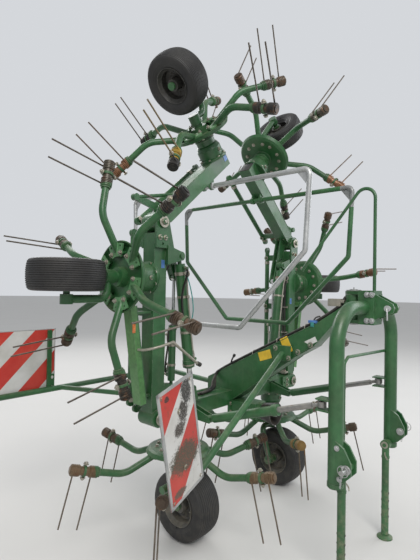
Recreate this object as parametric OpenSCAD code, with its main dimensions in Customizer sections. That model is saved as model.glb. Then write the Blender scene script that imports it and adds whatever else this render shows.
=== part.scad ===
// Trailed-width hay tedder with six tined rotors, wings folded upright for the road.
// +Z is up, the machine travels along -Y, and +X is its left side.
// The origin lies on the ground below the middle of the folded machine.
// A beam's own places are u (outwards along the beam), y and v (up when the beam is level).

/* [Rotor row] */
// Distance from one rotor's axis to the next
rotor_pitch = 1090; // [1070:5:1110]
// Height of the beams' axis above the ground
beam_z = 800; // [790:5:810]
// Width of the square beams
beam_w = 100; // [90:2:104]
// Drop from the beams' axis to the rotor discs
disc_drop = 245; // [242:1:250]
// How far the rotor row stands behind the origin
row_y = 190.7; // [150:0.1:230]

/* [Rotors] */
// Diameter of the dished disc
disc_d = 420; // [400:5:435]
// Diameter of an arm's tube
arm_d = 42; // [38:1:44]
// Radius at which an arm starts under the disc
arm_root_r = 130; // [120:2:140]
// Radius of an arm's lowest bend
arm_bend_r = 360; // [345:5:375]
// Depth of an arm's lowest bend below the disc
arm_sag = 115; // [105:5:120]
// Rise of an arm's outer end
arm_rise = 14; // [12:1:16]
// Radius of the middle of a pair of tine coils
coil_rho = 605; // [590:5:610]
// Diameter over a tine coil
coil_d = 66; // [62:1:70]
// Diameter of a tine's wire
tine_d = 9.5; // [8:0.5:10]
// Length of a tine below its arm
tine_len = 350; // [330:5:360]
// Distance between the two tines of a pair
tine_gap = 110; // [104:2:118]

/* [Wheels] */
// Diameter of the two tyres under the middle of the row
centre_tyre_d = 440; // [430:5:450]
// Width of the two tyres under the middle of the row
centre_tyre_w = 190; // [180:5:194]
// Diameter of the wings' tyres
wing_tyre_d = 400; // [390:5:410]
// Width of the wings' tyres
wing_tyre_w = 165; // [155:5:170]
// How far the middle wheels stand ahead of their rotor axes
wheel_lead = 80; // [70:5:100]
// Radius of a wheel's axle
axle_r = 17.5; // [15:0.5:20]
// Radius of a rotor's column
column_r = 30; // [26:1:32]

/* [Wings] */
// How far an inner hinge lies outboard of the centre rotor
inner_hinge_out = 235; // [225:5:245]
// How far an outer hinge lies outboard of the middle rotor
outer_hinge_out = 345; // [335:5:355]
// How far the outer beam folds inwards on the road
outer_fold = 49; // [46:1:50]
// Radius of the hinge pins
hinge_pin_r = 20; // [16:1:24]

/* [Folding cylinders] */
// Place of the inner fold cylinder's barrel pin along the inner beam
barrel_u = 1000; // [990:5:1010]
// Height of that pin above the inner beam's axis
barrel_v = 168; // [160:2:176]
// Place of the inner fold rod's eye out from the middle
rod_eye_x = 480; // [475:5:490]
// Height of the inner fold rod's eye
rod_eye_z = 930; // [925:1:935]
// Diameter of the inner fold cylinder's barrel
barrel_d = 70; // [60:2:72]
// Place of the outer fold cylinder's base along the inner beam
outer_base_u = 150; // [145:5:160]
// Height of the outer fold cylinder's base above the inner beam's axis
outer_base_v = 180; // [174:2:186]
// Diameter of the outer fold cylinder's barrel
outer_barrel_d = 48; // [42:2:50]
// Place of the outer wing's lever eye along the outer beam
lever_u = -76; // [-80:1:-72]
// Height of the outer wing's lever eye above the outer beam's axis
lever_v = 378; // [370:2:384]

/* [Guards] */
// Place of a guard's pivot along the outer beam
guard_u = 566; // [556:2:576]
// Height of a guard's pivot above the outer beam's axis
guard_v = 80; // [76:1:84]
// Half of a guard's width
guard_half = 800; // [780:5:810]
// Reach of a guard from its pivot
guard_reach = 970; // [940:5:980]
// Diameter of a guard's tube
guard_d = 33; // [28:1:36]

/* [Boom] */
// Width of the boom
boom_w = 116; // [100:2:120]
// How far the headstock's swivel stands ahead of the rotor row
swivel_y = 945; // [940:5:950]
// Radius of the swivel pin
swivel_pin_r = 25; // [20:1:28]

/* [Headstock] */
// Distance of a leg from the middle
leg_x = 410; // [400:5:420]
// How far the legs stand ahead of the rotor row
leg_y = 1030; // [1025:1:1035]
// Diameter of the arch's tube
leg_d = 80; // [70:2:84]
// Height of the legs' lower ends
leg_foot_z = 570; // [560:5:580]
// Height of the arch's top tube
arch_z = 1500; // [1490:5:1510]
// Radius of the lower link pins
lower_pin_r = 14; // [11:0.5:14]
// Height of the lower link pins
lower_pin_z = 690; // [680:5:700]
// Radius of the top link's bores
top_bore_r = 12.85; // [9.7:0.05:12.95]
// Height of the stands' hinge pins
stand_z = 600; // [590:5:610]
// Distance of a stand from the middle
stand_x = 330; // [322:2:336]
// Diameter of a stand's tube
stand_d = 45; // [38:1:46]

/* [Warning boards] */
// Width of the front warning board
front_board_w = 282; // [270:2:290]
// Height of the front warning board
front_board_h = 564; // [550:2:566]
// Lean of the front warning board in its own plane
front_board_lean = 13; // [10:1:15]
// Turn of the front warning board towards the middle
front_board_turn = 11; // [9:1:12]
// Side of the square rear warning board
rear_board_w = 423; // [415:1:425]

/* [Hidden] */
$fn = 40;

// Paints
green = [0.11, 0.27, 0.14];
pale_green = [0.33, 0.52, 0.33];
zinc = [0.66, 0.67, 0.66];
dark = [0.07, 0.07, 0.07];
chrome = [0.80, 0.80, 0.80];
coil_brown = [0.33, 0.26, 0.18];
board_red = [0.70, 0.10, 0.10];

// Clearances: a pin in its bore, a cheek beside an eye, and a free gap
pin_play = 0.05;
cheek_play = 3;
free_gap = 5;
// A bent bar swells a little at its bends, and its straights reach a little into them
bend_swell = 0.6;
bend_lap = 2;

// Rotors per row: side, stage along the row (0 frame, 1 inner wing, 2 outer wing) and the angle of the first arm
ROTORS = [
    ["rotor_centre_left", 1, 0, -8.5], ["rotor_centre_right", -1, 0, 21.5],
    ["rotor_middle_left", 1, 1, 38.5], ["rotor_middle_right", -1, 1, 8.5],
    ["rotor_outer_left", 1, 2, -8.5], ["rotor_outer_right", -1, 2, 21.5]
];
// Wheels: side and stage
WHEELS = [
    ["wheel_centre_left", 1, 0], ["wheel_centre_right", -1, 0],
    ["wheel_middle_left", 1, 1], ["wheel_middle_right", -1, 1],
    ["wheel_outer_left", 1, 2], ["wheel_outer_right", -1, 2]
];
rotor_arms = 6;
hinge_x = rotor_pitch / 2 + inner_hinge_out;
outer_hinge_u = 1.5 * rotor_pitch - hinge_x + outer_hinge_out;
rotor_u = [rotor_pitch / 2, 1.5 * rotor_pitch - hinge_x, 2.5 * rotor_pitch - hinge_x - outer_hinge_u];

half_w = beam_w / 2;
cheek_t = 15;
cheek_y = half_w + free_gap;
knuckle_r = half_w + 4;
beam_end = knuckle_r + 16;

// Rod frames and bent bars
function unit(a) = a / norm(a);
function frame(o, x, y, z) = [[x.x, y.x, z.x, o.x], [x.y, y.y, z.y, o.y], [x.z, y.z, z.z, o.z], [0, 0, 0, 1]];
function square_to(a) = unit(cross(a, abs(a.z) < 0.9 ? [0, 0, 1] : [1, 0, 0]));
function setback(a, b, c, bend) = bend * tan(acos(unit(b - a) * unit(c - b)) / 2);

// Puts its children's Z along the line from a to b, with their Y towards up
module along(a, b, up = undef) {
    z = unit(b - a);
    x = is_undef(up) ? square_to(z) : unit(cross(up, z));
    multmatrix(frame(a, x, cross(z, x), z)) children();
}

module rod(a, b, d) {
    along(a, b) cylinder(h = norm(b - a), d = d);
}

module elbow(a, b, c, bend, d) {
    way_in = unit(b - a);
    way_out = unit(c - b);
    angle = acos(way_in * way_out);
    inward = unit(way_out - way_in * (way_in * way_out));
    centre = b - way_in * bend * tan(angle / 2) + inward * bend;
    multmatrix(frame(centre, -inward, way_in, cross(-inward, way_in)))
        rotate_extrude(angle = angle) translate([bend, 0]) circle(d = d + bend_swell);
}

// Round bar through the points, bent to one radius; a closed one joins its last point to its first
module bent_bar(p, bend, d, closed = false) {
    n = len(p);
    last = closed ? n - 1 : n - 2;
    for (i = [0:last]) {
        a = p[i];
        b = p[(i + 1) % n];
        way = unit(b - a);
        back_a = closed || i > 0 ? setback(p[(i + n - 1) % n], a, b, bend) - bend_lap : 0;
        back_b = closed || i < last ? setback(a, b, p[(i + 2) % n], bend) - bend_lap : 0;
        rod(a + way * back_a, b - way * back_b, d);
    }
    for (i = [closed ? 0 : 1 : 1 : closed ? n - 1 : n - 2])
        elbow(p[(i + n - 1) % n], p[i], p[(i + 1) % n], bend, d);
}

// Plate in the plane of X and Z, with its thickness along Y from y0
module plate_xz(points, y0, t) {
    translate([0, y0 + t, 0]) rotate([90, 0, 0]) linear_extrude(t) polygon(points);
}

// Plate in the plane of Y and Z, with its thickness along X from x0; points are [y, z]
module plate_yz(points, x0, t) {
    multmatrix(frame([x0, 0, 0], [0, 1, 0], [0, 0, 1], [1, 0, 0])) linear_extrude(t) polygon(points);
}

module block(low, high) {
    translate(low) cube(high - low);
}

// Round bar along Y or X about a place, centred
module pin_y(place, r, l) {
    translate(place) rotate([90, 0, 0]) cylinder(h = l, r = r, center = true);
}

module pin_x(place, r, l) {
    translate(place) rotate([0, 90, 0]) cylinder(h = l, r = r, center = true);
}

// Places along the row
module at_row() {
    translate([0, row_y, 0]) children();
}

module on_side(s) {
    if (s > 0) children();
    else mirror([1, 0, 0]) children();
}

module frame_stage() {
    translate([0, 0, beam_z]) children();
}

module inner_stage() {
    translate([hinge_x, 0, beam_z]) rotate([0, -90, 0]) children();
}

module outer_stage() {
    inner_stage() translate([outer_hinge_u, 0, 0]) rotate([0, -outer_fold, 0]) children();
}

module at_stage(k) {
    if (k == 0) frame_stage() children();
    else if (k == 1) inner_stage() children();
    else outer_stage() children();
}

// Gear case below a beam with the column that its rotor turns on
case_foot = disc_drop - 37;
column_foot = disc_drop + 67;

module gear_case(u) {
    translate([u, 0, 0]) {
        translate([0, 0, -half_w]) rotate([180, 0, 0]) rotate_extrude()
            polygon([[0, -2], [98, -2], [98, 14], [86, 20], [86, 80], [74, 104], [66, 112],
                     [66, case_foot - half_w], [0, case_foot - half_w]]);
        translate([0, 0, -column_foot]) cylinder(h = column_foot - case_foot + 1, r = column_r);
    }
}

// Hinge parts: cheeks with the pin on one beam, and the knuckle with the bore on the next
module hinge_cheeks(from_u, pin_u) {
    for (y0 = [cheek_y, -cheek_y - cheek_t]) {
        difference() {
            union() {
                plate_xz([[from_u - 90, -half_w], [pin_u, -knuckle_r], [pin_u, knuckle_r], [from_u - 90, half_w]],
                         y0, cheek_t);
                pin_y([pin_u, y0 + cheek_t / 2, 0], knuckle_r, cheek_t);
            }
            pin_y([from_u - 66, y0 + cheek_t / 2, 0], 9, cheek_t + 2);
        }
        block([from_u - 90, min(y0 + cheek_t / 2, half_w * sign(y0)), -half_w + 12],
              [from_u - 12, max(y0 + cheek_t / 2, half_w * sign(y0)), half_w - 12]);
    }
    pin_y([pin_u, 0, 0], hinge_pin_r, 2 * (cheek_y + cheek_t) + 24);
    for (s = [-1, 1]) pin_y([pin_u, s * (cheek_y + cheek_t + 5), 0], hinge_pin_r + 11, 8);
}

module hinge_knuckle() {
    difference() {
        union() {
            pin_y([0, 0, 0], knuckle_r, 2 * cheek_y - 2);
            block([0, -half_w, -half_w + 8], [beam_end + 1, half_w, half_w - 8]);
        }
        pin_y([0, 0, 0], hinge_pin_r + pin_play, 2 * cheek_y);
    }
}

// Two cheek plates with a pin for an eye of width w, rising from a seat at v0 to a pin at [u, v]
module clevis(u, v, v0, y, w, pin_r, foot, plate_t = 10) {
    for (s = [-1, 1])
        translate([0, y + s * (w / 2 + cheek_play + plate_t / 2), 0])
            difference() {
                union() {
                    pin_y([u, 0, v], pin_r + 14, plate_t);
                    plate_xz([[u - foot, v0], [u + foot, v0], [u + pin_r + 13, v], [u - pin_r - 13, v]],
                             -plate_t / 2, plate_t);
                }
                pin_y([u, 0, v], pin_r, plate_t + 2);
            }
}

// Centre beam with its two gear cases, hinge cheeks, fold brackets and steering rod
fold_cyl_y = -40;
outer_cyl_y = 25;
fold_eye_w = 30;
outer_eye_w = 24;
track_y = 215;
track_d = 38;
track_end = 50;
damper_x = 480;
damper_y = -210;
damper_z = 765;
damper_pin_r = 12;
damper_eye_w = 30;

module centre_beam() {
    color(green) frame_stage() {
        end = hinge_x - beam_end;
        block([-end, -half_w, -half_w], [end, half_w, half_w]);
        for (s = [1, -1]) on_side(s) {
            hinge_cheeks(end, hinge_x);
            gear_case(rotor_u[0]);
            eye_v = rod_eye_z - beam_z;
            block([rod_eye_x - 70, fold_cyl_y - 32, half_w - 1], [rod_eye_x + 70, half_w, half_w + 10]);
            clevis(rod_eye_x, eye_v, half_w + 9, fold_cyl_y, fold_eye_w, 12, 48);
            for (k = [-1, 1]) {
                x0 = damper_x + k * (damper_eye_w / 2 + cheek_play + 5) - 5;
                plate_yz([[-half_w + 1, half_w - 15], [-half_w + 1, -half_w], [damper_y - 20, damper_z - beam_z - 20],
                          [damper_y - 20, damper_z - beam_z + 20]], x0, 10);
            }
            pin_x([damper_x, damper_y, damper_z - beam_z], damper_pin_r, 64);
        }
        track_rod([-hinge_x + track_end, track_y, 0], [hinge_x - track_end, track_y, 0], [-670, -92, 92, 670]);
    }
}

// Steering rod of the border spreader, held by levers from its beam
module track_rod(a, b, lever_places) {
    rod(a, b, track_d);
    for (u = lever_places)
        block([u - 25, half_w - 1, -6], [u + 25, track_y, 6]);
    for (end = [a, b]) pin_y([end.x, track_y, 0], 27, 22);
}

// Boom from the centre beam up to the swivel; edges are [y, z]
boom_top = [[180, 918], [-608, 1328], [-716, 1380], [-900, 1502], [-swivel_y + 20, 1540]];
boom_under = [[-swivel_y + 20, 1440], [-870, 1422], [-702, 1230], [-571, 1152], [9, 736], [180, 736]];
sleeve_z = [1425, 1575];
sleeve_r = 50;

module boom() {
    color(green) {
        difference() {
            union() {
                plate_yz(concat(boom_top, boom_under), -boom_w / 2, boom_w);
                translate([0, -swivel_y, sleeve_z[0]]) cylinder(h = sleeve_z[1] - sleeve_z[0], r = sleeve_r);
                for (s = [-1, 1]) plate_yz([[-705, 1240], [-575, 1162], [-560, 1215], [-640, 1262]],
                                           s * (boom_w / 2 + 3) - 4, 8);
            }
            translate([0, -swivel_y, sleeve_z[0] - 1])
                cylinder(h = sleeve_z[1] - sleeve_z[0] + 2, r = swivel_pin_r + pin_play);
            block([-boom_w, -half_w, beam_z - half_w], [boom_w, half_w, beam_z + half_w]);
            // Window in the rear end, open from side to side
            translate([0, 110, 800]) rotate([0, 90, 0]) cylinder(h = boom_w + 2, r = 28, center = true);
        }
    }
}

// Main gearbox ahead of the centre beam, with its input shaft
pto_z = 735;
module main_gearbox() {
    color(green) {
        block([-100, -half_w - 14, 690], [100, -half_w, 772]);
        hull() {
            block([-78, -half_w - 26, 686], [78, -half_w - 10, 780]);
            block([-62, -270, 680], [62, -250, 790]);
        }
        rod([0, -262, pto_z], [0, -296, pto_z], 116);
        rod([0, -290, pto_z], [0, -322, pto_z], 84);
    }
    color(zinc) rod([0, -300, pto_z], [0, -404, pto_z], 35);
    color(dark) translate([0, -304, pto_z]) rotate([90, 0, 0]) rotate_extrude()
        polygon([[41, 0], [60, 0], [78, 96], [73, 96], [57, 8], [41, 8]]);
}

// Wheel arm: socket below a column, side tube, leg and axle. side is the side of the wheel that it passes
wing_wheel_v = wing_tyre_d / 2 - beam_z;
centre_wheel_v = centre_tyre_d / 2 - beam_z;
module wheel_arm(u, side, reach, tube_v, y, wheel_v, hub_half) {
    bend = 55;
    translate([u, 0, 0]) {
        translate([0, 0, tube_v - 24]) cylinder(h = -column_foot - tube_v + 24, r = column_r + 10);
        bent_bar([[0, 0, tube_v], [side * reach, 0, tube_v], [side * reach, y, wheel_v]], bend, 44);
        pin_x([side * reach, y, wheel_v], 33, 52);
        rod([side * reach, y, wheel_v], [-side * (hub_half + 16), y, wheel_v], 2 * axle_r);
        pin_x([-side * (hub_half + 12), y, wheel_v], 25, 16);
        pin_x([side * (hub_half + 8), y, wheel_v], 30, 12);
    }
}

centre_hub_half = 70;
wing_hub_half = 60;
module centre_wheel_arms() {
    color(green) frame_stage() for (s = [1, -1]) on_side(s)
        wheel_arm(rotor_u[0], -1, centre_tyre_w / 2 + 36, -column_foot - 22, -wheel_lead, centre_wheel_v,
                  centre_hub_half);
}

module wing_wheel_arm(k) {
    color(green) wheel_arm(rotor_u[k], k == 1 ? -1 : 1, wing_tyre_w / 2 + 42, -column_foot - 38, 0, wing_wheel_v,
                           wing_hub_half);
}

// Inner beam: knuckle, gear case, outer hinge, shaft guard channel, steering rod and cylinder brackets
channel_from = [97, -105];
channel_to = [684, -196];
function channel_v(u) = lookup(u, [channel_from, channel_to]) - 12;
module inner_beam() {
    end = outer_hinge_u - beam_end;
    color(green) {
        hinge_knuckle();
        block([beam_end, -half_w, -half_w], [end, half_w, half_w]);
        gear_case(rotor_u[1]);
        hinge_cheeks(end, outer_hinge_u);
        track_rod([track_end, track_y, 0], [outer_hinge_u - track_end, track_y, 0], [110, 640, 1080]);
        clevis(barrel_u, barrel_v, half_w - 1, fold_cyl_y, fold_eye_w, 15, 60);
        pin_y([barrel_u, fold_cyl_y, barrel_v], 15, 72);
        block([barrel_u - 60, fold_cyl_y - 36, half_w - 10], [barrel_u + 60, fold_cyl_y, half_w + 8]);
        clevis(outer_base_u, outer_base_v, half_w - 1, outer_cyl_y, outer_eye_w, 10, 46, 8);
        pin_y([outer_base_u, outer_cyl_y, outer_base_v], 10, 56);
        // Tabs that carry the shaft guard channel
        for (u = [146, 646]) block([u - 6, -30, channel_v(u)], [u + 6, 30, -half_w + 1]);
    }
    color(pale_green) along([channel_from.x, 0, channel_from.y], [channel_to.x, 0, channel_to.y], [0, 0, 1])
        linear_extrude(norm(channel_to - channel_from))
            polygon([[-36, 34], [-36, -14], [36, -14], [36, 34], [31, 34], [31, -9], [-31, -9], [-31, 34]]);
}

// Outer beam: knuckle, gear case, guard lugs, lever for the outer fold cylinder and steering rod
lever_t = 10;
outer_end = 90;
brace_foot = [-8, -196];
module outer_beam() {
    color(green) {
        hinge_knuckle();
        block([beam_end, -half_w, -half_w], [rotor_u[2] + outer_end, half_w, half_w]);
        gear_case(rotor_u[2]);
        track_rod([track_end, track_y, 0], [rotor_u[2] + 20, track_y, 0], [110, rotor_u[2] - 20]);
        for (s = [-1, 1])
            translate([0, outer_cyl_y + s * (outer_eye_w / 2 + cheek_play + lever_t / 2), 0])
                difference() {
                    union() {
                        plate_xz([[20, half_w - 10], [110, half_w - 1], [lever_u + 22, lever_v + 6],
                                  [lever_u - 22, lever_v - 6]], -lever_t / 2, lever_t);
                        pin_y([lever_u, 0, lever_v], 23, lever_t);
                    }
                    pin_y([lever_u, 0, lever_v], 10, lever_t + 2);
                    pin_y([lever_u + 60, 0, lever_v - 190], 15, lever_t + 2);
                }
        for (s = [-1, 1]) guard_lug(s * 36);
        // Outboard lever below the hinge, and its brace
        plate_xz([[74, -half_w + 4], [132, -half_w + 4], [brace_foot.x + 20, brace_foot.y - 6],
                  [brace_foot.x - 6, brace_foot.y - 18], [brace_foot.x - 22, brace_foot.y + 4]], 30, 12);
        rod([brace_foot.x, 36, brace_foot.y], [262, 36, -half_w + 3], 22);
        pin_y([brace_foot.x, 36, brace_foot.y], 21, 34);
    }
}

module guard_lug(y) {
    difference() {
        union() {
            pin_y([guard_u, y, guard_v], guard_d / 2 + 11, 14);
            plate_xz([[guard_u - 44, half_w - 1], [guard_u + 44, half_w - 1], [guard_u + 26, guard_v],
                      [guard_u - 26, guard_v]], y - 7, 14);
        }
        pin_y([guard_u, y, guard_v], guard_d / 2 + pin_play, 16);
    }
}

// Guard hoop hanging from the outer beam; it turns in the lugs and hangs straight down on the road
guard_turn = 180 - outer_fold;
guard_shoulder = [guard_half - 25, guard_reach * 0.495];
guard_toe = [guard_half * 0.375, guard_reach];
module guard() {
    translate([guard_u, 0, guard_v]) rotate([0, -guard_turn, 0]) {
        corners = [[0, guard_half], [guard_shoulder.y, guard_shoulder.x], [guard_toe.y, guard_toe.x],
                   [guard_toe.y, -guard_toe.x], [guard_shoulder.y, -guard_shoulder.x], [0, -guard_half]];
        bent_bar([for (p = corners) [p.x, p.y, 0]], 40, guard_d, closed = true);
        for (s = [-1, 1]) linear_extrude(4, center = true)
            polygon([[0, s * (guard_half - 95)], [0, s * (guard_half - 8)], [100, s * (guard_half - 14)]]);
        for (s = [-1, 1]) pin_y([0, s * 52, 0], guard_d / 2 + 7, 14);
    }
}

// Inner fold cylinder, from the barrel's pin on the wing to the open eye at the centre beam
barrel_pin = [hinge_x - barrel_v, beam_z + barrel_u];
rod_eye = [rod_eye_x, rod_eye_z];
fold_len = norm(barrel_pin - rod_eye);
barrel_len = fold_len - 150;
fold_rod_r = 18;
fold_bore = 540;
fold_rod_inside = fold_bore - 30;
module fold_line() {
    translate([barrel_pin.x, fold_cyl_y, barrel_pin.y])
        rotate([0, atan2(rod_eye.x - barrel_pin.x, rod_eye.y - barrel_pin.y), 0]) children();
}

module fold_barrel() {
    color(green) fold_line() difference() {
        union() {
            pin_y([0, 0, 0], 29, fold_eye_w);
            translate([0, 0, 20]) cylinder(h = 31, d = fold_eye_w - 2);
            translate([0, 0, 50]) cylinder(h = barrel_len - 50, d = barrel_d);
            translate([0, 0, barrel_len - 44]) cylinder(h = 44, d = barrel_d + 8);
        }
        pin_y([0, 0, 0], 15 + pin_play, fold_eye_w + 2);
        translate([0, 0, barrel_len - fold_bore]) cylinder(h = fold_bore + 1, r = fold_rod_r + pin_play);
    }
}

module fold_rod() {
    color(chrome) fold_line() {
        translate([0, 0, barrel_len - fold_rod_inside])
            cylinder(h = fold_len - barrel_len + fold_rod_inside - 20, r = fold_rod_r);
        difference() {
            pin_y([0, 0, fold_len], 25, fold_eye_w);
            pin_y([0, 0, fold_len], 13, fold_eye_w + 2);
        }
    }
}

// Outer fold cylinder, from its base on the inner beam to the open eye in the outer beam's lever
lever_eye = [outer_hinge_u + lever_u * cos(outer_fold) - lever_v * sin(outer_fold),
             lever_u * sin(outer_fold) + lever_v * cos(outer_fold)];
outer_base = [outer_base_u, outer_base_v];
outer_len = norm(lever_eye - outer_base);
outer_barrel_len = 400;
outer_rod_r = 11;
module outer_line() {
    translate([outer_base.x, outer_cyl_y, outer_base.y])
        rotate([0, atan2(lever_eye.x - outer_base.x, lever_eye.y - outer_base.y), 0]) children();
}

module outer_barrel() {
    color(green) outer_line() difference() {
        union() {
            pin_y([0, 0, 0], 21, outer_eye_w);
            translate([0, 0, 14]) cylinder(h = 29, d = outer_eye_w - 2);
            translate([0, 0, 42]) cylinder(h = outer_barrel_len - 42, d = outer_barrel_d);
            translate([0, 0, outer_barrel_len - 30]) cylinder(h = 30, d = outer_barrel_d + 6);
        }
        pin_y([0, 0, 0], 10 + pin_play, outer_eye_w + 2);
        translate([0, 0, 60]) cylinder(h = outer_barrel_len, r = outer_rod_r + pin_play);
    }
}

module outer_rod() {
    color(chrome) outer_line() {
        translate([0, 0, 70]) cylinder(h = outer_len - 70 - 14, r = outer_rod_r);
        difference() {
            pin_y([0, 0, outer_len], 20, outer_eye_w);
            pin_y([0, 0, outer_len], 10, outer_eye_w + 2);
        }
    }
}

// One rotor about its column: dished disc, hub, arms, coils and tines
coil_len = 55;
coil_turns = 5;
coil_mean_r = (coil_d - tine_d) / 2;
hub_r = 55;
arm_end_r = coil_rho + 85;
function arm_out_z(r) = -arm_sag + (r - arm_bend_r) * tan(arm_rise);

module rotor(first_arm) {
    color(green) {
        rotate_extrude() polygon([
            [column_r + pin_play, 30], [hub_r, 30], [hub_r + 5, 8], [disc_d / 2 - 30, 8], [disc_d / 2 - 12, 0],
            [disc_d / 2, -22], [disc_d / 2 - 7, -25], [disc_d / 2 - 17, -8], [disc_d / 2 - 32, 0],
            [hub_r + 5, 0], [hub_r, -45], [column_r + pin_play, -45]
        ]);
        for (k = [0:rotor_arms - 1]) rotate([0, 0, first_arm + k * 360 / rotor_arms]) {
            bent_bar([[arm_root_r, 0, -14], [arm_bend_r, 0, -arm_sag], [arm_end_r, 0, arm_out_z(arm_end_r)]],
                     150, arm_d);
            arm_saddle();
        }
    }
    for (k = [0:rotor_arms - 1]) rotate([0, 0, first_arm + k * 360 / rotor_arms])
        translate([coil_rho, 0, arm_out_z(coil_rho)]) rotate([0, 90 - arm_rise, 0]) tine_pair();
}

// Curved plate that clamps an arm's root under the disc, with its two holes
module arm_saddle() {
    inner_r = arm_root_r - 12;
    outer_r = disc_d / 2 - 14;
    difference() {
        rotate([0, 0, -20]) rotate_extrude(angle = 40)
            translate([inner_r, -34]) square([outer_r - inner_r, 10]);
        for (s = [-1, 1]) rotate([0, 0, s * 13]) translate([outer_r - 18, 0, -35]) cylinder(h = 12, r = 7);
    }
    for (s = [-1, 1]) rotate([0, 0, s * 17]) translate([arm_root_r + 10, 0, -30]) cylinder(h = 32, r = 10);
}

// Two coils on an arm's end, their clamp, bolt and tines; Z runs along the arm and X down along the tines
module tine_pair() {
    color(coil_brown) {
        for (s = [-1, 1]) {
            translate([0, 0, s * (tine_gap / 2) - coil_len / 2]) coil_stack();
            rod([0, coil_mean_r, s * tine_gap / 2], [tine_len, coil_mean_r, s * tine_gap / 2], tine_d);
        }
        translate([0, 0, -tine_gap / 2 + coil_len / 2 - 1])
            cylinder(h = tine_gap - coil_len + 2, r = coil_mean_r - 2);
        rod([-coil_d / 2 - 8, 0, 0], [coil_d / 2 + 4, 0, 0], 14);
    }
}

module coil_stack() {
    turn_h = coil_len / coil_turns;
    crest = coil_d / 2;
    valley = crest - tine_d * 0.42;
    rotate_extrude() polygon(concat(
        [[0, 0]],
        [for (i = [0:coil_turns - 1]) for (q = [[valley, 0], [crest, 0.28], [crest, 0.72], [valley, 1]])
            if (i == 0 || q[1] > 0) [q[0], (i + q[1]) * turn_h]],
        [[0, coil_len]]
    ));
}

// Wheel about its axle along X: tyre section with ribs, and a dished rim with its hub
module wheel(d, w, hub_half) {
    r = d / 2;
    rim_r = r * 0.53;
    color(dark) rotate([0, 90, 0]) rotate_extrude() polygon(concat(
        [[rim_r, -w * 0.36], [rim_r + 12, -w * 0.44], [r * 0.78, -w / 2], [r * 0.9, -w * 0.47]],
        [for (i = [-2:2]) for (q = [-0.5, -0.34, 0.34, 0.5])
            [r - (abs(q) > 0.4 ? 7 : 0) - abs(i) * 3, (i + q) * w * 0.17]],
        [[r * 0.9, w * 0.47], [r * 0.78, w / 2], [rim_r + 12, w * 0.44], [rim_r, w * 0.36]]
    ));
    color(zinc) rotate([0, 90, 0]) rotate_extrude() polygon([
        [rim_r, -w * 0.36], [rim_r, w * 0.36], [rim_r + 5, w * 0.40], [rim_r + 5, w * 0.43], [rim_r - 8, w * 0.40],
        [rim_r - 10, 12], [46, 26], [36, hub_half], [axle_r + pin_play, hub_half],
        [axle_r + pin_play, -hub_half], [36, -hub_half], [42, 4], [rim_r - 10, 0],
        [rim_r - 8, -w * 0.40], [rim_r + 5, -w * 0.43], [rim_r + 5, -w * 0.40]
    ]);
}

module row_wheel(k) {
    y = k == 0 ? -wheel_lead : 0;
    v = k == 0 ? centre_wheel_v : wing_wheel_v;
    translate([rotor_u[k], y, v]) wheel(k == 0 ? centre_tyre_d : wing_tyre_d, k == 0 ? centre_tyre_w : wing_tyre_w,
                                        k == 0 ? centre_hub_half : wing_hub_half);
}

// Headstock arch: two bent legs, link plates and pins, lugs for stands and dampers, and the shaft rest
head_half = 62;
leg_bend = 210;
damper_lug_z = 987;
damper_eye_y = swivel_y + 5;
module headstock_arch() {
    color(green) for (s = [1, -1]) on_side(s) {
        bent_bar([[leg_x, -leg_y, leg_foot_z], [leg_x, -leg_y, arch_z], [head_half, -leg_y, arch_z]],
                 leg_bend, leg_d);
        for (k = [-1, 1]) plate_yz([[-leg_y, 590], [-leg_y - 62, 620], [-leg_y - 100, 660], [-leg_y - 100, 720],
                                    [-leg_y - 62, 790], [-leg_y, 830]], leg_x + k * 32 - 6, 12);
        // Stand pin and its lug
        pin_x([(stand_x + leg_x) / 2 - 8, -leg_y, stand_z], 12, leg_x - stand_x + 40);
        pin_x([leg_x - leg_d / 2, -leg_y, stand_z], 24, 16);
        // Damper lug: two level plates behind the leg
        for (k = [-1, 1]) translate([0, 0, damper_lug_z + k * 29 - 4])
            linear_extrude(8) polygon([[leg_x - 34, -leg_y + 10], [leg_x + 34, -leg_y + 10],
                                       [leg_x + 30, -damper_eye_y + 26], [leg_x - 44, -damper_eye_y + 26]]);
    }
    color(zinc) for (s = [1, -1]) on_side(s)
        pin_x([leg_x + 29, -leg_y - 76, lower_pin_z], lower_pin_r, 138);
    color(green) bent_bar([[leg_x, -leg_y + 34, 1200], [-190, -leg_y + 34, 1220], [-240, -leg_y + 34, 1190],
                           [-240, -leg_y + 34, 740]], 24, 18);
}

// Head of the arch: box, fork with the swivel pin, top link plates and the hose guide
fork_t = 20;
head_front = leg_y + 62;
guide_top = 2330;
top_pin_y = leg_y + 140;
module headstock_head() {
    color(green) {
        block([-head_half, -head_front, 1400], [head_half, -leg_y + 34, 1600]);
        for (z0 = [sleeve_z[0] - fork_t - 1, sleeve_z[1] + 1]) translate([0, 0, z0]) {
            translate([0, -swivel_y, 0]) cylinder(h = fork_t, r = sleeve_r);
            linear_extrude(fork_t) polygon([[-sleeve_r, -swivel_y], [sleeve_r, -swivel_y],
                                            [head_half, -leg_y + 30], [-head_half, -leg_y + 30]]);
        }
        difference() {
            for (s = [-1, 1]) plate_yz([[-head_front + 5, 1430], [-top_pin_y - 20, 1474], [-top_pin_y - 30, 1500],
                                        [-top_pin_y - 20, 1526], [-head_front + 5, 1580]], s * 34 - 6, 12);
            pin_x([0, -top_pin_y, arch_z], top_bore_r, 118);
        }
        // Hose guide, bent once over the top and down to a foot on the boom's side
        bent_bar([[0, -head_front + 22, 1590], [0, -head_front + 22, guide_top], [0, -586, 1725]], 62, 20);
    }
    color(zinc) {
        translate([0, -swivel_y, sleeve_z[0] - fork_t - 12])
            cylinder(h = sleeve_z[1] - sleeve_z[0] + 2 * fork_t + 24, r = swivel_pin_r);
    }
}

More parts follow.
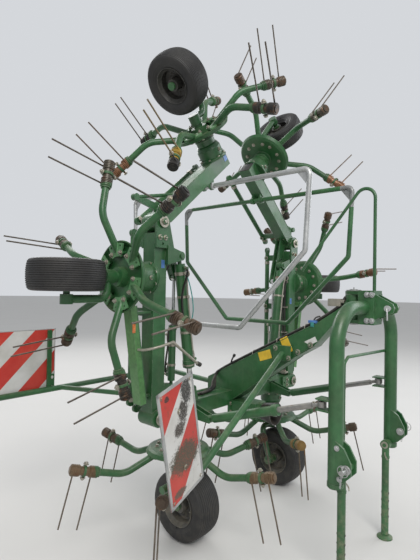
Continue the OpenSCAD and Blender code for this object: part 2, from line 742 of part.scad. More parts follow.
// Parking stand about its pin, down on the ground
module stand() {
    color(green) difference() {
        union() {
            pin_x([stand_x, -leg_y, stand_z], 30, 36);
            translate([stand_x, -leg_y, 12]) cylinder(h = stand_z - 24, d = stand_d);
            translate([stand_x, -leg_y, 0]) rotate_extrude()
                polygon([[0, 0], [48, 0], [48, 8], [28, 20], [0, 20]]);
        }
        pin_x([stand_x, -leg_y, stand_z], 12 + pin_play, 38);
    }
}

// Swivel damper from the centre beam's bracket to the open eye at the leg's lug
damper_from = [damper_x, damper_y, damper_z];
damper_to = [leg_x, -damper_eye_y, damper_lug_z];
damper_len = norm(damper_to - damper_from);
module damper_tube() {
    color(green) difference() {
        union() {
            pin_x(damper_from, 24, damper_eye_w);
            along(damper_from, damper_to) {
                translate([0, 0, 16]) cylinder(h = 23, d = 24);
                translate([0, 0, 38]) cylinder(h = 462, d = 56);
                translate([0, 0, 470]) cylinder(h = 34, d = 68);
            }
        }
        pin_x(damper_from, damper_pin_r + pin_play, damper_eye_w + 2);
        along(damper_from, damper_to) translate([0, 0, 200]) cylinder(h = 310, r = 17 + pin_play);
    }
}

module damper_rod() {
    color(zinc) {
        along(damper_from, damper_to) {
            translate([0, 0, 330]) cylinder(h = damper_len - 330 - 58, r = 17);
            translate([0, 0, damper_len - 59]) cylinder(h = 59 - 14, r = 10.5);
        }
        difference() {
            translate(damper_to - [0, 0, 15]) cylinder(h = 30, r = 24);
            translate(damper_to - [0, 0, 16]) cylinder(h = 32, r = 12);
        }
    }
}

// Warning boards on the right side, with the tubes that carry them
board_t = 5;
front_board_at = [-1128, -604, 893];
rear_board_at = [-1228, 750, 1090];
frame_tube = 38;
module at_front_board() {
    translate(front_board_at) rotate([0, 0, front_board_turn]) rotate([0, -front_board_lean, 0]) children();
}

module front_board() {
    color(board_red) at_front_board()
        block([-front_board_w / 2, -board_t, -front_board_h / 2], [front_board_w / 2, 0, front_board_h / 2]);
}

module rear_board() {
    color(board_red) translate(rear_board_at)
        block([-rear_board_w / 2, 0, -rear_board_w / 2], [rear_board_w / 2, board_t, rear_board_w / 2]);
}

module board_frames() {
    stand_off = 46;
    behind = front_board_at.y + frame_tube / 2 + stand_off;
    low_z = front_board_at.z - front_board_h / 2 * cos(front_board_lean) + 36;
    low_x = front_board_at.x + front_board_h / 2 * sin(front_board_lean);
    color(green) {
        // Front: tube from the boom down and out to the board, its strut and its back rail
        block([-boom_w / 2 - 16, -530, 1142], [-boom_w / 2, -450, 1208]);
        bent_bar([[-boom_w / 2 - 12, -490, 1175], [low_x + 150, behind, low_z + 20], [low_x - 120, behind, low_z]],
                 90, frame_tube);
        block([-612, -half_w - 12, beam_z - 30], [-556, -half_w, beam_z + 30]);
        rod([-584, -half_w - 11.5, beam_z], [low_x + 130, behind - 4, low_z + 34], 32);
        at_front_board() {
            block([-14, 0, -front_board_h / 2 + 6], [14, 14, front_board_h / 2 - 40]);
            block([-13, 4, -front_board_h / 2 + 14], [13, stand_off + 12, -front_board_h / 2 + 66]);
        }
        // Rear: bent tube from the boom's rear end, its diagonal, and a short post beside the board
        rail_y = rear_board_at.y - frame_tube / 2 - 1;
        rail_z = rear_board_at.z - rear_board_w / 2 + 14;
        block([-44, 180, 832], [44, 194, 908]);
        bent_bar([[0, 188, 870], [0, rail_y, rail_z], [rear_board_at.x - rear_board_w / 2 + 10, rail_y, rail_z]],
                 70, frame_tube);
        block([-640, -16, beam_z + half_w], [-566, half_w - 2, beam_z + half_w + 14]);
        rod([-603, 16, beam_z + half_w + 4], [-603, 16, beam_z + half_w + 44], 40);
        rod([-603, 20, beam_z + half_w + 30], [-980, rail_y, rail_z], 32);
        block([rear_board_at.x + rear_board_w / 2 - 60, rear_board_at.y - 12, rail_z - 10],
              [rear_board_at.x + rear_board_w / 2 - 30, rear_board_at.y, rail_z + 400]);
    }
}

at_row() centre_beam();
at_row() boom();
at_row() main_gearbox();
at_row() centre_wheel_arms();
at_row() board_frames();
at_row() front_board();
at_row() rear_board();
at_row() headstock_arch();
at_row() headstock_head();
for (s = [1, -1]) {
    end = s > 0 ? "left" : "right";
    at_row() on_side(s) stand();
    at_row() on_side(s) damper_tube();
    at_row() on_side(s) damper_rod();
    at_row() on_side(s) inner_stage() inner_beam();
    at_row() on_side(s) inner_stage() wing_wheel_arm(1);
    at_row() on_side(s) fold_barrel();
    at_row() on_side(s) fold_rod();
    at_row() on_side(s) outer_stage() outer_beam();
    at_row() on_side(s) outer_stage() wing_wheel_arm(2);
    at_row() on_side(s) inner_stage() outer_barrel();
    at_row() on_side(s) inner_stage() outer_rod();
    at_row() on_side(s) outer_stage()
        color(s > 0 ? green : zinc) guard();
}
for (r = ROTORS)
    at_row() on_side(r[1]) at_stage(r[2])
        translate([rotor_u[r[2]], 0, -disc_drop]) rotor(r[3]);
for (w = WHEELS)
    at_row() on_side(w[1]) at_stage(w[2]) row_wheel(w[2]);
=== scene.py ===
import math

import bmesh
import bpy
from mathutils import Matrix, Vector


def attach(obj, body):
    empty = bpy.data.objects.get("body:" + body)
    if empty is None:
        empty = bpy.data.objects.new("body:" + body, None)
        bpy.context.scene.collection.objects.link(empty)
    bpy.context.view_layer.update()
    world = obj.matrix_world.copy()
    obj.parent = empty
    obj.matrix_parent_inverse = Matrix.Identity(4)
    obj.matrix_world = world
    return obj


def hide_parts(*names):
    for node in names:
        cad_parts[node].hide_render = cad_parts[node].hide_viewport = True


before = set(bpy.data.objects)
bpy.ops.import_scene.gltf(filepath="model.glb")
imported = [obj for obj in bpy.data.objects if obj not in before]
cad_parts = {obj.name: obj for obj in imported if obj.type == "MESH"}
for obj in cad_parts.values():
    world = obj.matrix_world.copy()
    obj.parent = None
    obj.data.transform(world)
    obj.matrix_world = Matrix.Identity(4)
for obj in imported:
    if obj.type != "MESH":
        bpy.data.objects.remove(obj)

bl_info = {
    "name": "Hay Tedder Finish",
    "version": (1, 0, 0),
    "blender": (4, 5, 0),
    "location": "View3D > Sidebar > Tedder",
    "description": "Paints a folded six-rotor hay tedder and adds its tyres, boards, bolts, pipes and signs",
    "category": "Object",
}

MM = 0.001
# Sizes of the solids that the pieces are fitted to, in millimetres
ROW_Y = 190.7
BEAM_Z = 800
HALF_W = 50
HINGE_X = 780
OUTER_HINGE_U = 1200
OUTER_FOLD = 49
ROTOR_PITCH = 1090
DISC_DROP = 245
ROTOR_U = (ROTOR_PITCH / 2, 1.5 * ROTOR_PITCH - HINGE_X, 2.5 * ROTOR_PITCH - HINGE_X - OUTER_HINGE_U)
CHEEK_Y = 55
CHEEK_T = 15
HINGE_PIN_R = 20
SADDLE_BOLT_RHO = 140
COIL_RHO = 605
COIL_R = 33
TINE_WIRE_R = 5.1
TINE_GAP = 110
ARM_SAG = 115
ARM_BEND_R = 360
ARM_RISE = math.radians(14)
FOLD_BASE = (612, -40, 1800)
FOLD_EYE = (480, -40, 930)
FOLD_BARREL = 730
FOLD_BARREL_R = 35
FOLD_ROD_R = 18
OUTER_BASE = (150, 25, 180)
OUTER_EYE = (864.8, 25, 190.6)
OUTER_BARREL = 400
OUTER_BARREL_R = 24
OUTER_ROD_R = 11
LEG_X = 410
LEG_Y = 1030
LINK_PIN = (1106, 690)
TOP_PIN = (1170, 1500)
TOP_PIN_R = 12.4
STAND_X = 330
CLIP_WIRE_R = 2.4
SWIVEL_Y, SWIVEL_Z = -945, 1500
INPUT_Z = 735
BOOM_HALF = 58
# Diameter, width and half length of the hub of a wheel on the centre beam and on a wing
CENTRE_WHEEL = (440, 190, 70)
WING_WHEEL = (400, 165, 60)
WHEEL_BOLT_RHO = 66
FLANGE_BOLT_RHO = 92
# Width and height of the warning boards
FRONT_BOARD = (282, 564)
REAR_BOARD = (423, 423)
# Pivot of the guard on the outer beam
GUARD_U, GUARD_V = 566, 80
ROPE_D = 7
SIDES = ((1, "left"), (-1, "right"))
WING_BODY = ("frame", "inner_wing", "outer_wing")
ROW_NAME = ("centre", "middle", "outer")
# Colours of worn edges, rust and dust, and the tones of the coils and tines
WORN_EDGE = (0.20, 0.20, 0.18)
RUST = (0.115, 0.045, 0.02)
DUST = (0.30, 0.255, 0.18)
TONES = {"rust": (0.150, 0.072, 0.036), "brown": (0.085, 0.055, 0.036), "ochre": (0.275, 0.165, 0.045),
         "yellow": (0.52, 0.35, 0.045), "black": (0.026, 0.025, 0.024), "mud": (0.078, 0.070, 0.054),
         "clay": (0.052, 0.053, 0.045), "copper": (0.30, 0.150, 0.080),
         "tan": (0.19, 0.125, 0.068)}
# Worn places of the front board's foil: middle, half sizes in metres, and colour
FRONT_SCARS = ((0.006, -0.091, 0.115, 0.070, (0.085, 0.068, 0.040)),
               (0.070, 0.215, 0.040, 0.070, (0.020, 0.019, 0.018)),
               (0.030, 0.130, 0.034, 0.050, (0.040, 0.032, 0.026)),
               (-0.010, 0.060, 0.040, 0.034, (0.050, 0.036, 0.028)),
               (-0.080, 0.235, 0.018, 0.014, (0.030, 0.020, 0.018)),
               (-0.060, -0.235, 0.046, 0.018, (0.11, 0.08, 0.055)))
# Tones of each rotor's coil pairs, arm by arm, and the angle of its first arm, by row place and side
COIL_TONES = {(0, 1): ("brown", "tan", "ochre", "brown", "ochre", "brown"),
              (0, -1): ("tan", "brown", "ochre", "brown", "tan", "brown"),
              (1, 1): ("brown", "tan", "brown", "mud", "rust", "brown"),
              (1, -1): ("mud", "clay", "brown", "black", "brown", "black"),
              (2, 1): ("brown", "black", "brown", "black", "copper", "mud"),
              (2, -1): ("brown", "black", "copper", "yellow", "black", "mud")}
FIRST_ARM = {(0, 1): -8.5, (0, -1): 21.5, (1, 1): 38.5, (1, -1): 8.5, (2, 1): -8.5, (2, -1): 21.5}


def body_at(place, side):
    """Name of the body that carries a place along the row."""
    if place == 0:
        return "frame"
    return WING_BODY[place] + ("_left" if side > 0 else "_right")


def row_matrix(side=1):
    """From the row's own frame, in millimetres, to the scene; the right side is mirrored."""
    m = Matrix.Translation((0, ROW_Y * MM, 0)) @ Matrix.Scale(MM, 4)
    if side < 0:
        m = m @ Matrix.Scale(-1, 4, (1, 0, 0))
    return m


def stage_matrix(place, side):
    """From a beam's own frame (u, y, v) in millimetres to the scene."""
    m = row_matrix(side)
    if place == 0:
        return m @ Matrix.Translation((0, 0, BEAM_Z))
    m = m @ Matrix.Translation((HINGE_X, 0, BEAM_Z)) @ Matrix.Rotation(math.radians(-90), 4, "Y")
    if place == 2:
        fold = Matrix.Rotation(math.radians(-OUTER_FOLD), 4, "Y")
        m = m @ Matrix.Translation((OUTER_HINGE_U, 0, 0)) @ fold
    return m


def aim(place, direction):
    """Matrix that puts Z along a direction at a place, with X level."""
    z = Vector(direction).normalized()
    x = Vector((0, 0, 1)).cross(z)
    if x.length < 1e-4:
        x = Vector((1, 0, 0)).cross(z)
    x.normalize()
    y = z.cross(x)
    m = Matrix((x, y, z)).transposed().to_4x4()
    m.translation = Vector(place)
    return m


# Mesh helpers, all on bmesh operators

def settle(bm, name, materials, body, matrix=None, smooth=35):
    """Turns a bmesh into a finished piece at the origin that rides on a body."""
    if matrix is not None:
        bmesh.ops.transform(bm, matrix=matrix, verts=bm.verts)
    bmesh.ops.remove_doubles(bm, verts=bm.verts, dist=2e-5)
    bmesh.ops.dissolve_degenerate(bm, edges=bm.edges, dist=1e-6)
    bmesh.ops.recalc_face_normals(bm, faces=bm.faces)
    mesh = bpy.data.meshes.new(name)
    bm.to_mesh(mesh)
    bm.free()
    for polygon in mesh.polygons:
        polygon.use_smooth = True
    mesh.set_sharp_from_angle(angle=math.radians(smooth))
    for material in materials if isinstance(materials, (list, tuple)) else [materials]:
        mesh.materials.append(material)
    piece = bpy.data.objects.new(name, mesh)
    bpy.context.scene.collection.objects.link(piece)
    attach(piece, body)
    return piece


def faces_of(verts):
    """Faces that meet at some of these vertices."""
    return list({f for v in verts for f in v.link_faces})


def set_material(verts, index):
    """Gives the faces at these vertices one of the piece's materials."""
    for f in faces_of(verts):
        f.material_index = index


def lathe(bm, profile, matrix=Matrix.Identity(4), steps=48, closed=True, index=0):
    """Spins a profile of (radius, height) about Z. A closed profile makes a ring, an open one a solid cap."""
    verts = [bm.verts.new((r, 0, z)) for r, z in profile]
    edges = [bm.edges.new((verts[i], verts[i + 1])) for i in range(len(verts) - 1)]
    if closed:
        edges.append(bm.edges.new((verts[-1], verts[0])))
    before = set(bm.faces)
    bmesh.ops.spin(bm, geom=verts + edges, cent=(0, 0, 0), axis=(0, 0, 1), dvec=(0, 0, 0),
                   angle=2 * math.pi, steps=steps, use_merge=True, use_duplicate=False)
    made = [f for f in bm.faces if f not in before]
    spun = list({v for f in made for v in f.verts})
    bmesh.ops.remove_doubles(bm, verts=spun, dist=1e-4)
    made = [f for f in bm.faces if f not in before]
    spun = list({v for f in made for v in f.verts})
    bmesh.ops.transform(bm, matrix=matrix, verts=spun)
    for f in made:
        f.material_index = index
    return made


def disc_bar(bm, r, length, matrix, segments=24, chamfer=0.8, index=0):
    """Round bar along Z from 0 to length with chamfered ends."""
    c = min(chamfer, r * 0.4, length * 0.4)
    return lathe(bm, [(0, 0), (r - c, 0), (r, c), (r, length - c), (r - c, length), (0, length)], matrix,
                 steps=segments, closed=False, index=index)


def bolt(bm, place, direction, across=19, head=8, washer=True, stud=0, index=0, turn=0.0):
    """Hexagon head with its washer, seated at a place and standing along a direction."""
    m = aim(place, direction) @ Matrix.Rotation(turn, 4, "Z")
    base = 0
    if washer:
        disc_bar(bm, across * 0.78, 2.4, m, segments=20, chamfer=0.4, index=index)
        base = 2.2
    made = bmesh.ops.create_cone(bm, cap_ends=True, cap_tris=False, segments=6, radius1=across * 0.577,
                                 radius2=across * 0.577, depth=head,
                                 matrix=m @ Matrix.Translation((0, 0, base + head / 2)))
    rim = [e for e in {e for v in made["verts"] for e in v.link_edges}
           if all((m.inverted() @ v.co).z > base + head * 0.6 for v in e.verts)]
    bmesh.ops.bevel(bm, geom=rim, offset=across * 0.06, offset_type="OFFSET", segments=1, profile=0.5,
                    affect="EDGES", material=-1)
    set_material([v for v in made["verts"] if v.is_valid], index)
    if stud:
        disc_bar(bm, across * 0.28, stud, m @ Matrix.Translation((0, 0, base + head - 0.5)), segments=14,
                 index=index)


def slab(bm, low, high, matrix=Matrix.Identity(4), bevel=1.5, segments=2, index=0):
    """Box between two corners with rounded edges."""
    low, high = Vector(low), Vector(high)
    size = high - low
    made = bmesh.ops.create_cube(bm, size=1.0, matrix=Matrix.Translation((low + high) / 2)
                                 @ Matrix.Diagonal((*size, 1)))
    verts = made["verts"]
    edges = list({e for v in verts for e in v.link_edges})
    if bevel:
        out = bmesh.ops.bevel(bm, geom=edges, offset=min(bevel, min(size) * 0.45), offset_type="OFFSET",
                              segments=segments, profile=0.5, affect="EDGES", material=-1)
        verts = list({v for f in out["faces"] for v in f.verts} | {v for v in verts if v.is_valid})
    bmesh.ops.transform(bm, matrix=matrix, verts=verts)
    set_material(verts, index)
    return verts


def smooth_route(points, rounds=3):
    """Rounds the corners of a route by cutting them."""
    route = [Vector(p) for p in points]
    for _ in range(rounds):
        new = [route[0]]
        for a, b in zip(route, route[1:]):
            new += [a.lerp(b, 0.25), a.lerp(b, 0.75)]
        new.append(route[-1])
        route = new
    return route


def tube(bm, points, radius, matrix=Matrix.Identity(4), segments=12, index=0, rounds=3):
    """Round tube along a smoothed route, closed at both ends."""
    route = smooth_route(points, rounds) if rounds else [Vector(p) for p in points]
    way = (route[1] - route[0]).normalized()
    turned = aim(route[0], way)
    ring = bmesh.ops.create_circle(bm, cap_ends=False, segments=segments, radius=radius,
                                   matrix=turned)["verts"]
    first = bm.faces.new(ring)
    all_verts = list(ring)
    current = first
    for i in range(1, len(route)):
        ahead = min(i + 1, len(route) - 1)
        after = (route[ahead] - route[ahead - 1]).normalized()
        half = (way + after).normalized() if (way + after).length > 1e-6 else after
        turn = turned.to_3x3().col[2].rotation_difference(half).to_matrix()
        basis = turn @ turned.to_3x3()
        new_m = basis.to_4x4()
        new_m.translation = route[i]
        out = bmesh.ops.extrude_face_region(bm, geom=[current])
        moved = [v for v in out["geom"] if isinstance(v, bmesh.types.BMVert)]
        bmesh.ops.transform(bm, matrix=new_m @ turned.inverted(), verts=moved)
        if i > 1:
            bmesh.ops.delete(bm, geom=[current], context="FACES_ONLY")
        current = next(f for f in out["geom"] if isinstance(f, bmesh.types.BMFace))
        all_verts += moved
        turned = new_m
        way = after
    all_verts = [v for v in all_verts if v.is_valid]
    bmesh.ops.transform(bm, matrix=matrix, verts=all_verts)
    set_material(all_verts, index)
    return all_verts


def helix(bm, radius, wire, pitch, turns, matrix, start=0.0, index=0):
    """Round wire wound about Z from the place's origin upwards."""
    steps = 18
    known = set(bm.verts)
    stand = Matrix.Rotation(start, 4, "Z") @ Matrix.Translation((radius, 0, 0)) \
        @ Matrix.Rotation(math.pi / 2, 4, "X")
    ring = bmesh.ops.create_circle(bm, cap_ends=True, segments=6, radius=wire, matrix=stand)["verts"]
    geom = ring + list({e for v in ring for e in v.link_edges}) + faces_of(ring)
    bmesh.ops.spin(bm, geom=geom, cent=(0, 0, 0), axis=(0, 0, 1), dvec=(0, 0, pitch / steps),
                   angle=2 * math.pi * turns, steps=round(turns * steps), use_merge=False,
                   use_duplicate=False)
    verts = [v for v in bm.verts if v not in known]
    bmesh.ops.transform(bm, matrix=matrix, verts=verts)
    set_material(verts, index)
    return verts


def band(bm, r, width, thick, matrix, steps=32, index=0):
    """Flat ring around a bar, centred on the place."""
    half = width / 2
    return lathe(bm, [(r, -half), (r + thick, -half + 0.4), (r + thick, half - 0.4), (r, half)], matrix,
                 steps=steps, index=index)


def weld(bm, points, radius=3.2):
    """Bead of weld along a route, with its ripples left to the bump."""
    return tube(bm, points, radius, segments=6, rounds=1)


# Shader groups

def new_group(name, inputs, outputs):
    """Empty node group with its sockets, and its two end nodes."""
    group = bpy.data.node_groups.new(name, "ShaderNodeTree")
    for label, kind, value in inputs:
        socket = group.interface.new_socket(name=label, in_out="INPUT", socket_type=kind)
        if value is not None:
            socket.default_value = value
    for label, kind in outputs:
        group.interface.new_socket(name=label, in_out="OUTPUT", socket_type=kind)
    return group, group.nodes.new("NodeGroupInput"), group.nodes.new("NodeGroupOutput")


def add(tree, kind, **values):
    """New node of a kind with its settings."""
    node = tree.nodes.new(kind)
    for key, value in values.items():
        setattr(node, key, value)
    return node


def noise(tree, vector, scale, detail=4.0, rough=0.55, distort=0.0):
    """Noise over the surface."""
    node = add(tree, "ShaderNodeTexNoise")
    node.inputs["Scale"].default_value = scale
    node.inputs["Detail"].default_value = detail
    node.inputs["Roughness"].default_value = rough
    node.inputs["Distortion"].default_value = distort
    tree.links.new(vector, node.inputs["Vector"])
    return node.outputs["Fac"]


def link_or_set(tree, socket, value):
    """Feeds a socket from another one or sets its value."""
    if isinstance(value, bpy.types.NodeSocket):
        tree.links.new(value, socket)
    else:
        socket.default_value = value


def calc(tree, operation, a, b=0.5, clamp=False):
    """Result of one sum."""
    node = add(tree, "ShaderNodeMath", operation=operation, use_clamp=clamp)
    link_or_set(tree, node.inputs[0], a)
    link_or_set(tree, node.inputs[1], b)
    return node.outputs[0]


def remap(tree, value, low, high, to_low=0.0, to_high=1.0):
    """Smooth step from one range to another."""
    node = add(tree, "ShaderNodeMapRange", interpolation_type="SMOOTHSTEP")
    tree.links.new(value, node.inputs["Value"])
    for label, number in (("From Min", low), ("From Max", high), ("To Min", to_low), ("To Max", to_high)):
        link_or_set(tree, node.inputs[label], number)
    return node.outputs["Result"]


def blend_colour(tree, fac, a, b):
    """Colour between two, by a mask."""
    node = add(tree, "ShaderNodeMix", data_type="RGBA", clamp_factor=True)
    link_or_set(tree, node.inputs[0], fac)
    link_or_set(tree, node.inputs[6], a)
    link_or_set(tree, node.inputs[7], b)
    return node.outputs[2]


def age_group():
    """Masks of an outdoor machine's surface: fading, rust, settled dust, and mud near the ground."""
    t, start, end = new_group("field_age", [
        ("Position", "NodeSocketVector", None),
        ("Rust", "NodeSocketFloat", 0.3),
        ("Dust", "NodeSocketFloat", 0.4),
        ("Mud", "NodeSocketFloat", 0.3)],
        [(label, "NodeSocketFloat") for label in ("Fade", "Rust", "Dust", "Grain", "Height")])
    p = start.outputs["Position"]
    fade = remap(t, noise(t, p, 3.1, 5.0, 0.6), 0.35, 0.68)
    grain = noise(t, p, 240.0, 3.0, 0.6)
    blotch = noise(t, p, 17.0, 8.0, 0.68, 0.4)
    patches = noise(t, p, 5.0, 3.0, 0.5)
    spread = calc(t, "ADD", calc(t, "MULTIPLY", blotch, 0.7), calc(t, "MULTIPLY", patches, 0.3))
    edge = calc(t, "SUBTRACT", 0.74, calc(t, "MULTIPLY", start.outputs["Rust"], 0.34))
    rust = remap(t, spread, edge, calc(t, "ADD", edge, 0.07))
    chip_edge = calc(t, "SUBTRACT", 0.80, calc(t, "MULTIPLY", start.outputs["Rust"], 0.16))
    chips = remap(t, noise(t, p, 55.0, 5.0, 0.7), chip_edge, 0.86)
    rust = calc(t, "MAXIMUM", rust, chips)
    stretch = add(t, "ShaderNodeMapping")
    stretch.inputs["Scale"].default_value = (1.0, 1.0, 0.10)
    t.links.new(p, stretch.inputs["Vector"])
    streak = remap(t, noise(t, stretch.outputs[0], 38.0, 4.0, 0.6), 0.50, 0.78)
    normal = add(t, "ShaderNodeNewGeometry")
    split_n = add(t, "ShaderNodeSeparateXYZ")
    t.links.new(normal.outputs["Normal"], split_n.inputs[0])
    up = remap(t, split_n.outputs["Z"], 0.15, 0.95)
    dusty = remap(t, noise(t, p, 8.0, 6.0, 0.65), 0.30, 0.72)
    settled = calc(t, "MULTIPLY", calc(t, "ADD", calc(t, "MULTIPLY", up, 0.75), 0.28), dusty)
    settled = calc(t, "ADD", settled, calc(t, "MULTIPLY", streak, 0.22))
    dust = calc(t, "MULTIPLY", settled, start.outputs["Dust"])
    split_p = add(t, "ShaderNodeSeparateXYZ")
    t.links.new(p, split_p.inputs[0])
    low = remap(t, split_p.outputs["Z"], 0.75, 0.05)
    clods = remap(t, noise(t, p, 26.0, 7.0, 0.7), 0.40, 0.62)
    mud = calc(t, "MULTIPLY", calc(t, "MULTIPLY", low, clods), start.outputs["Mud"])
    dust = calc(t, "MAXIMUM", dust, mud, clamp=True)
    height = calc(t, "ADD", calc(t, "MULTIPLY", grain, 0.25), calc(t, "MULTIPLY", dust, 0.55))
    height = calc(t, "SUBTRACT", height, calc(t, "MULTIPLY", rust, 0.45))
    for label, socket in (("Fade", fade), ("Rust", rust), ("Dust", dust), ("Grain", grain),
                          ("Height", height)):
        t.links.new(socket, end.inputs[label])
    return t


def edge_group():
    """Mask of worn edges, from the difference between the face's normal and a rounded one."""
    t, start, end = new_group("edge_wear", [
        ("Position", "NodeSocketVector", None),
        ("Width", "NodeSocketFloat", 0.004)],
        [("Edge", "NodeSocketFloat")])
    round_n = add(t, "ShaderNodeBevel", samples=4)
    t.links.new(start.outputs["Width"], round_n.inputs["Radius"])
    flat = add(t, "ShaderNodeNewGeometry")
    dot = add(t, "ShaderNodeVectorMath", operation="DOT_PRODUCT")
    t.links.new(round_n.outputs[0], dot.inputs[0])
    t.links.new(flat.outputs["Normal"], dot.inputs[1])
    bend = remap(t, dot.outputs["Value"], 0.985, 0.86)
    broken = remap(t, noise(t, start.outputs["Position"], 34.0, 5.0, 0.7), 0.42, 0.62)
    t.links.new(calc(t, "MULTIPLY", bend, broken), end.inputs["Edge"])
    return t


def place_group(tree, group, **values):
    """Node group placed in a material with its own values."""
    node = tree.nodes.new("ShaderNodeGroup")
    node.node_tree = group
    for label, value in values.items():
        link_or_set(tree, node.inputs[label], value)
    return node


def principled(name):
    """New material with its tree, its shader and its Object coordinates."""
    material = bpy.data.materials.new(name)
    material.use_nodes = True
    tree = material.node_tree
    tree.nodes.clear()
    out = tree.nodes.new("ShaderNodeOutputMaterial")
    shader = tree.nodes.new("ShaderNodeBsdfPrincipled")
    tree.links.new(shader.outputs[0], out.inputs[0])
    where = tree.nodes.new("ShaderNodeTexCoord")
    return material, tree, shader, where.outputs["Object"]


def add_bump(tree, shader, height, strength, distance):
    """Relief of the surface from a height."""
    bump = add(tree, "ShaderNodeBump")
    bump.inputs["Strength"].default_value = strength
    bump.inputs["Distance"].default_value = distance
    tree.links.new(height, bump.inputs["Height"])
    tree.links.new(bump.outputs[0], shader.inputs["Normal"])


GROUPS = {}
FINISH = {}


def shade(colour, share=1.0):
    """Colour socket value of a colour, made darker or lighter."""
    return (*[min(1.0, c * share) for c in colour], 1)


def vector_math(tree, operation, a, b=None):
    """Vector math node of a socket and, where it takes two, a fixed vector."""
    node = add(tree, "ShaderNodeVectorMath", operation=operation)
    tree.links.new(a, node.inputs[0])
    if b is not None:
        node.inputs[1].default_value = b
    return node


def along_axis(tree, away, axis):
    """Part of a vector along a direction."""
    return vector_math(tree, "DOT_PRODUCT", away, Vector(axis).normalized()).outputs["Value"]


def painted(tree, p, age, colour, faded):
    """Paint that faded in places and is mottled, and the mask of its mottling."""
    base = blend_colour(tree, age.outputs["Fade"], shade(colour), shade(faded))
    tone = remap(tree, noise(tree, p, 41.0, 4.0, 0.6), 0.3, 0.75)
    return blend_colour(tree, calc(tree, "MULTIPLY", tone, 0.35), base, shade(colour, 0.62)), tone


def from_axis(tree, p, centre, axis):
    """Distance from an axis and the way along it."""
    away = vector_math(tree, "SUBTRACT", p, centre).outputs[0]
    across = vector_math(tree, "CROSS_PRODUCT", away, Vector(axis).normalized()).outputs[0]
    return vector_math(tree, "LENGTH", across).outputs["Value"], along_axis(tree, away, axis)


def zone_mask(tree, p, zone):
    """Mask of a round zone: centre, axis, least and most distance from the axis, start and end along it."""
    centre, axis, near, far, start, end = zone
    away, along = from_axis(tree, p, centre, axis)
    mask = remap(tree, away, far + 0.0006, far - 0.0006)
    if near > 0:
        mask = calc(tree, "MULTIPLY", mask, remap(tree, away, near - 0.0006, near + 0.0006))
    if start > -5:
        mask = calc(tree, "MULTIPLY", mask, remap(tree, along, start - 0.0006, start + 0.0006))
    if end < 5:
        mask = calc(tree, "MULTIPLY", mask, remap(tree, along, end + 0.0006, end - 0.0006))
    return mask


def aged_surface(name, colour, faded, rust_amount, dust_amount, mud, rough=(0.42, 0.72), metal=0.0, coat=0.0,
                 bump=0.35, edge=True, zones=()):
    """Paint or metal that has worked outdoors, with fading, rust, dust, mud and worn edges."""
    material, tree, shader, p = principled(name)
    age = place_group(tree, GROUPS["age"], Position=p, Rust=rust_amount, Dust=dust_amount, Mud=mud)
    base, tone = painted(tree, p, age, colour, faded)
    shine = metal
    for zone, zone_colour, zone_metal in zones:
        mask = zone_mask(tree, p, zone)
        varied = blend_colour(tree, tone, shade(zone_colour), shade(zone_colour, 0.66))
        base = blend_colour(tree, mask, base, varied)
        if zone_metal or shine:
            blended = add(tree, "ShaderNodeMix", data_type="FLOAT", clamp_factor=True)
            link_or_set(tree, blended.inputs[0], mask)
            link_or_set(tree, blended.inputs[2], shine)
            link_or_set(tree, blended.inputs[3], zone_metal)
            shine = blended.outputs[0]
    if edge:
        worn_edge = place_group(tree, GROUPS["edge"], Position=p).outputs["Edge"]
        base = blend_colour(tree, calc(tree, "MULTIPLY", worn_edge, 0.75), base, shade(WORN_EDGE))
    rusty = blend_colour(tree, noise(tree, p, 90.0, 5.0, 0.7), shade(RUST, 0.55), shade(RUST, 2.1))
    base = blend_colour(tree, age.outputs["Rust"], base, rusty)
    earth = blend_colour(tree, tone, shade(DUST), shade(DUST, 0.6))
    base = blend_colour(tree, age.outputs["Dust"], base, earth)
    tree.links.new(base, shader.inputs["Base Color"])
    dull = calc(tree, "MAXIMUM", age.outputs["Rust"], age.outputs["Dust"])
    matt = calc(tree, "ADD", calc(tree, "MULTIPLY", age.outputs["Fade"], 0.5), dull)
    roughness = remap(tree, matt, 0.0, 1.0, rough[0], min(0.95, rough[1] + 0.12))
    tree.links.new(roughness, shader.inputs["Roughness"])
    if shine:
        tree.links.new(calc(tree, "MULTIPLY", calc(tree, "SUBTRACT", 1.0, dull, clamp=True), shine),
                       shader.inputs["Metallic"])
    shader.inputs["Coat Weight"].default_value = coat
    shader.inputs["Coat Roughness"].default_value = 0.3
    add_bump(tree, shader, age.outputs["Height"], bump, 0.0015)
    return material


def tyre_rubber():
    """Black rubber with dust and dried mud."""
    material, tree, shader, p = principled("tyre_rubber")
    age = place_group(tree, GROUPS["age"], Position=p, Rust=0.0, Dust=0.34, Mud=0.30)
    base = blend_colour(tree, age.outputs["Fade"], (0.013, 0.013, 0.014, 1), (0.027, 0.027, 0.027, 1))
    earth = blend_colour(tree, noise(tree, p, 60.0, 5.0, 0.6), (0.13, 0.115, 0.09, 1), (0.20, 0.18, 0.145, 1))
    base = blend_colour(tree, calc(tree, "MULTIPLY", age.outputs["Dust"], 0.55), base, earth)
    tree.links.new(base, shader.inputs["Base Color"])
    tree.links.new(remap(tree, age.outputs["Dust"], 0.0, 1.0, 0.55, 0.9), shader.inputs["Roughness"])
    shader.inputs["Specular IOR Level"].default_value = 0.4
    add_bump(tree, shader, age.outputs["Height"], 0.2, 0.0008)
    return material


def same_number(tree, value, k):
    """Mask of the places that have one number."""
    node = add(tree, "ShaderNodeMath", operation="COMPARE")
    tree.links.new(value, node.inputs[0])
    node.inputs[1].default_value = float(k)
    node.inputs[2].default_value = 0.25
    return node.outputs[0]


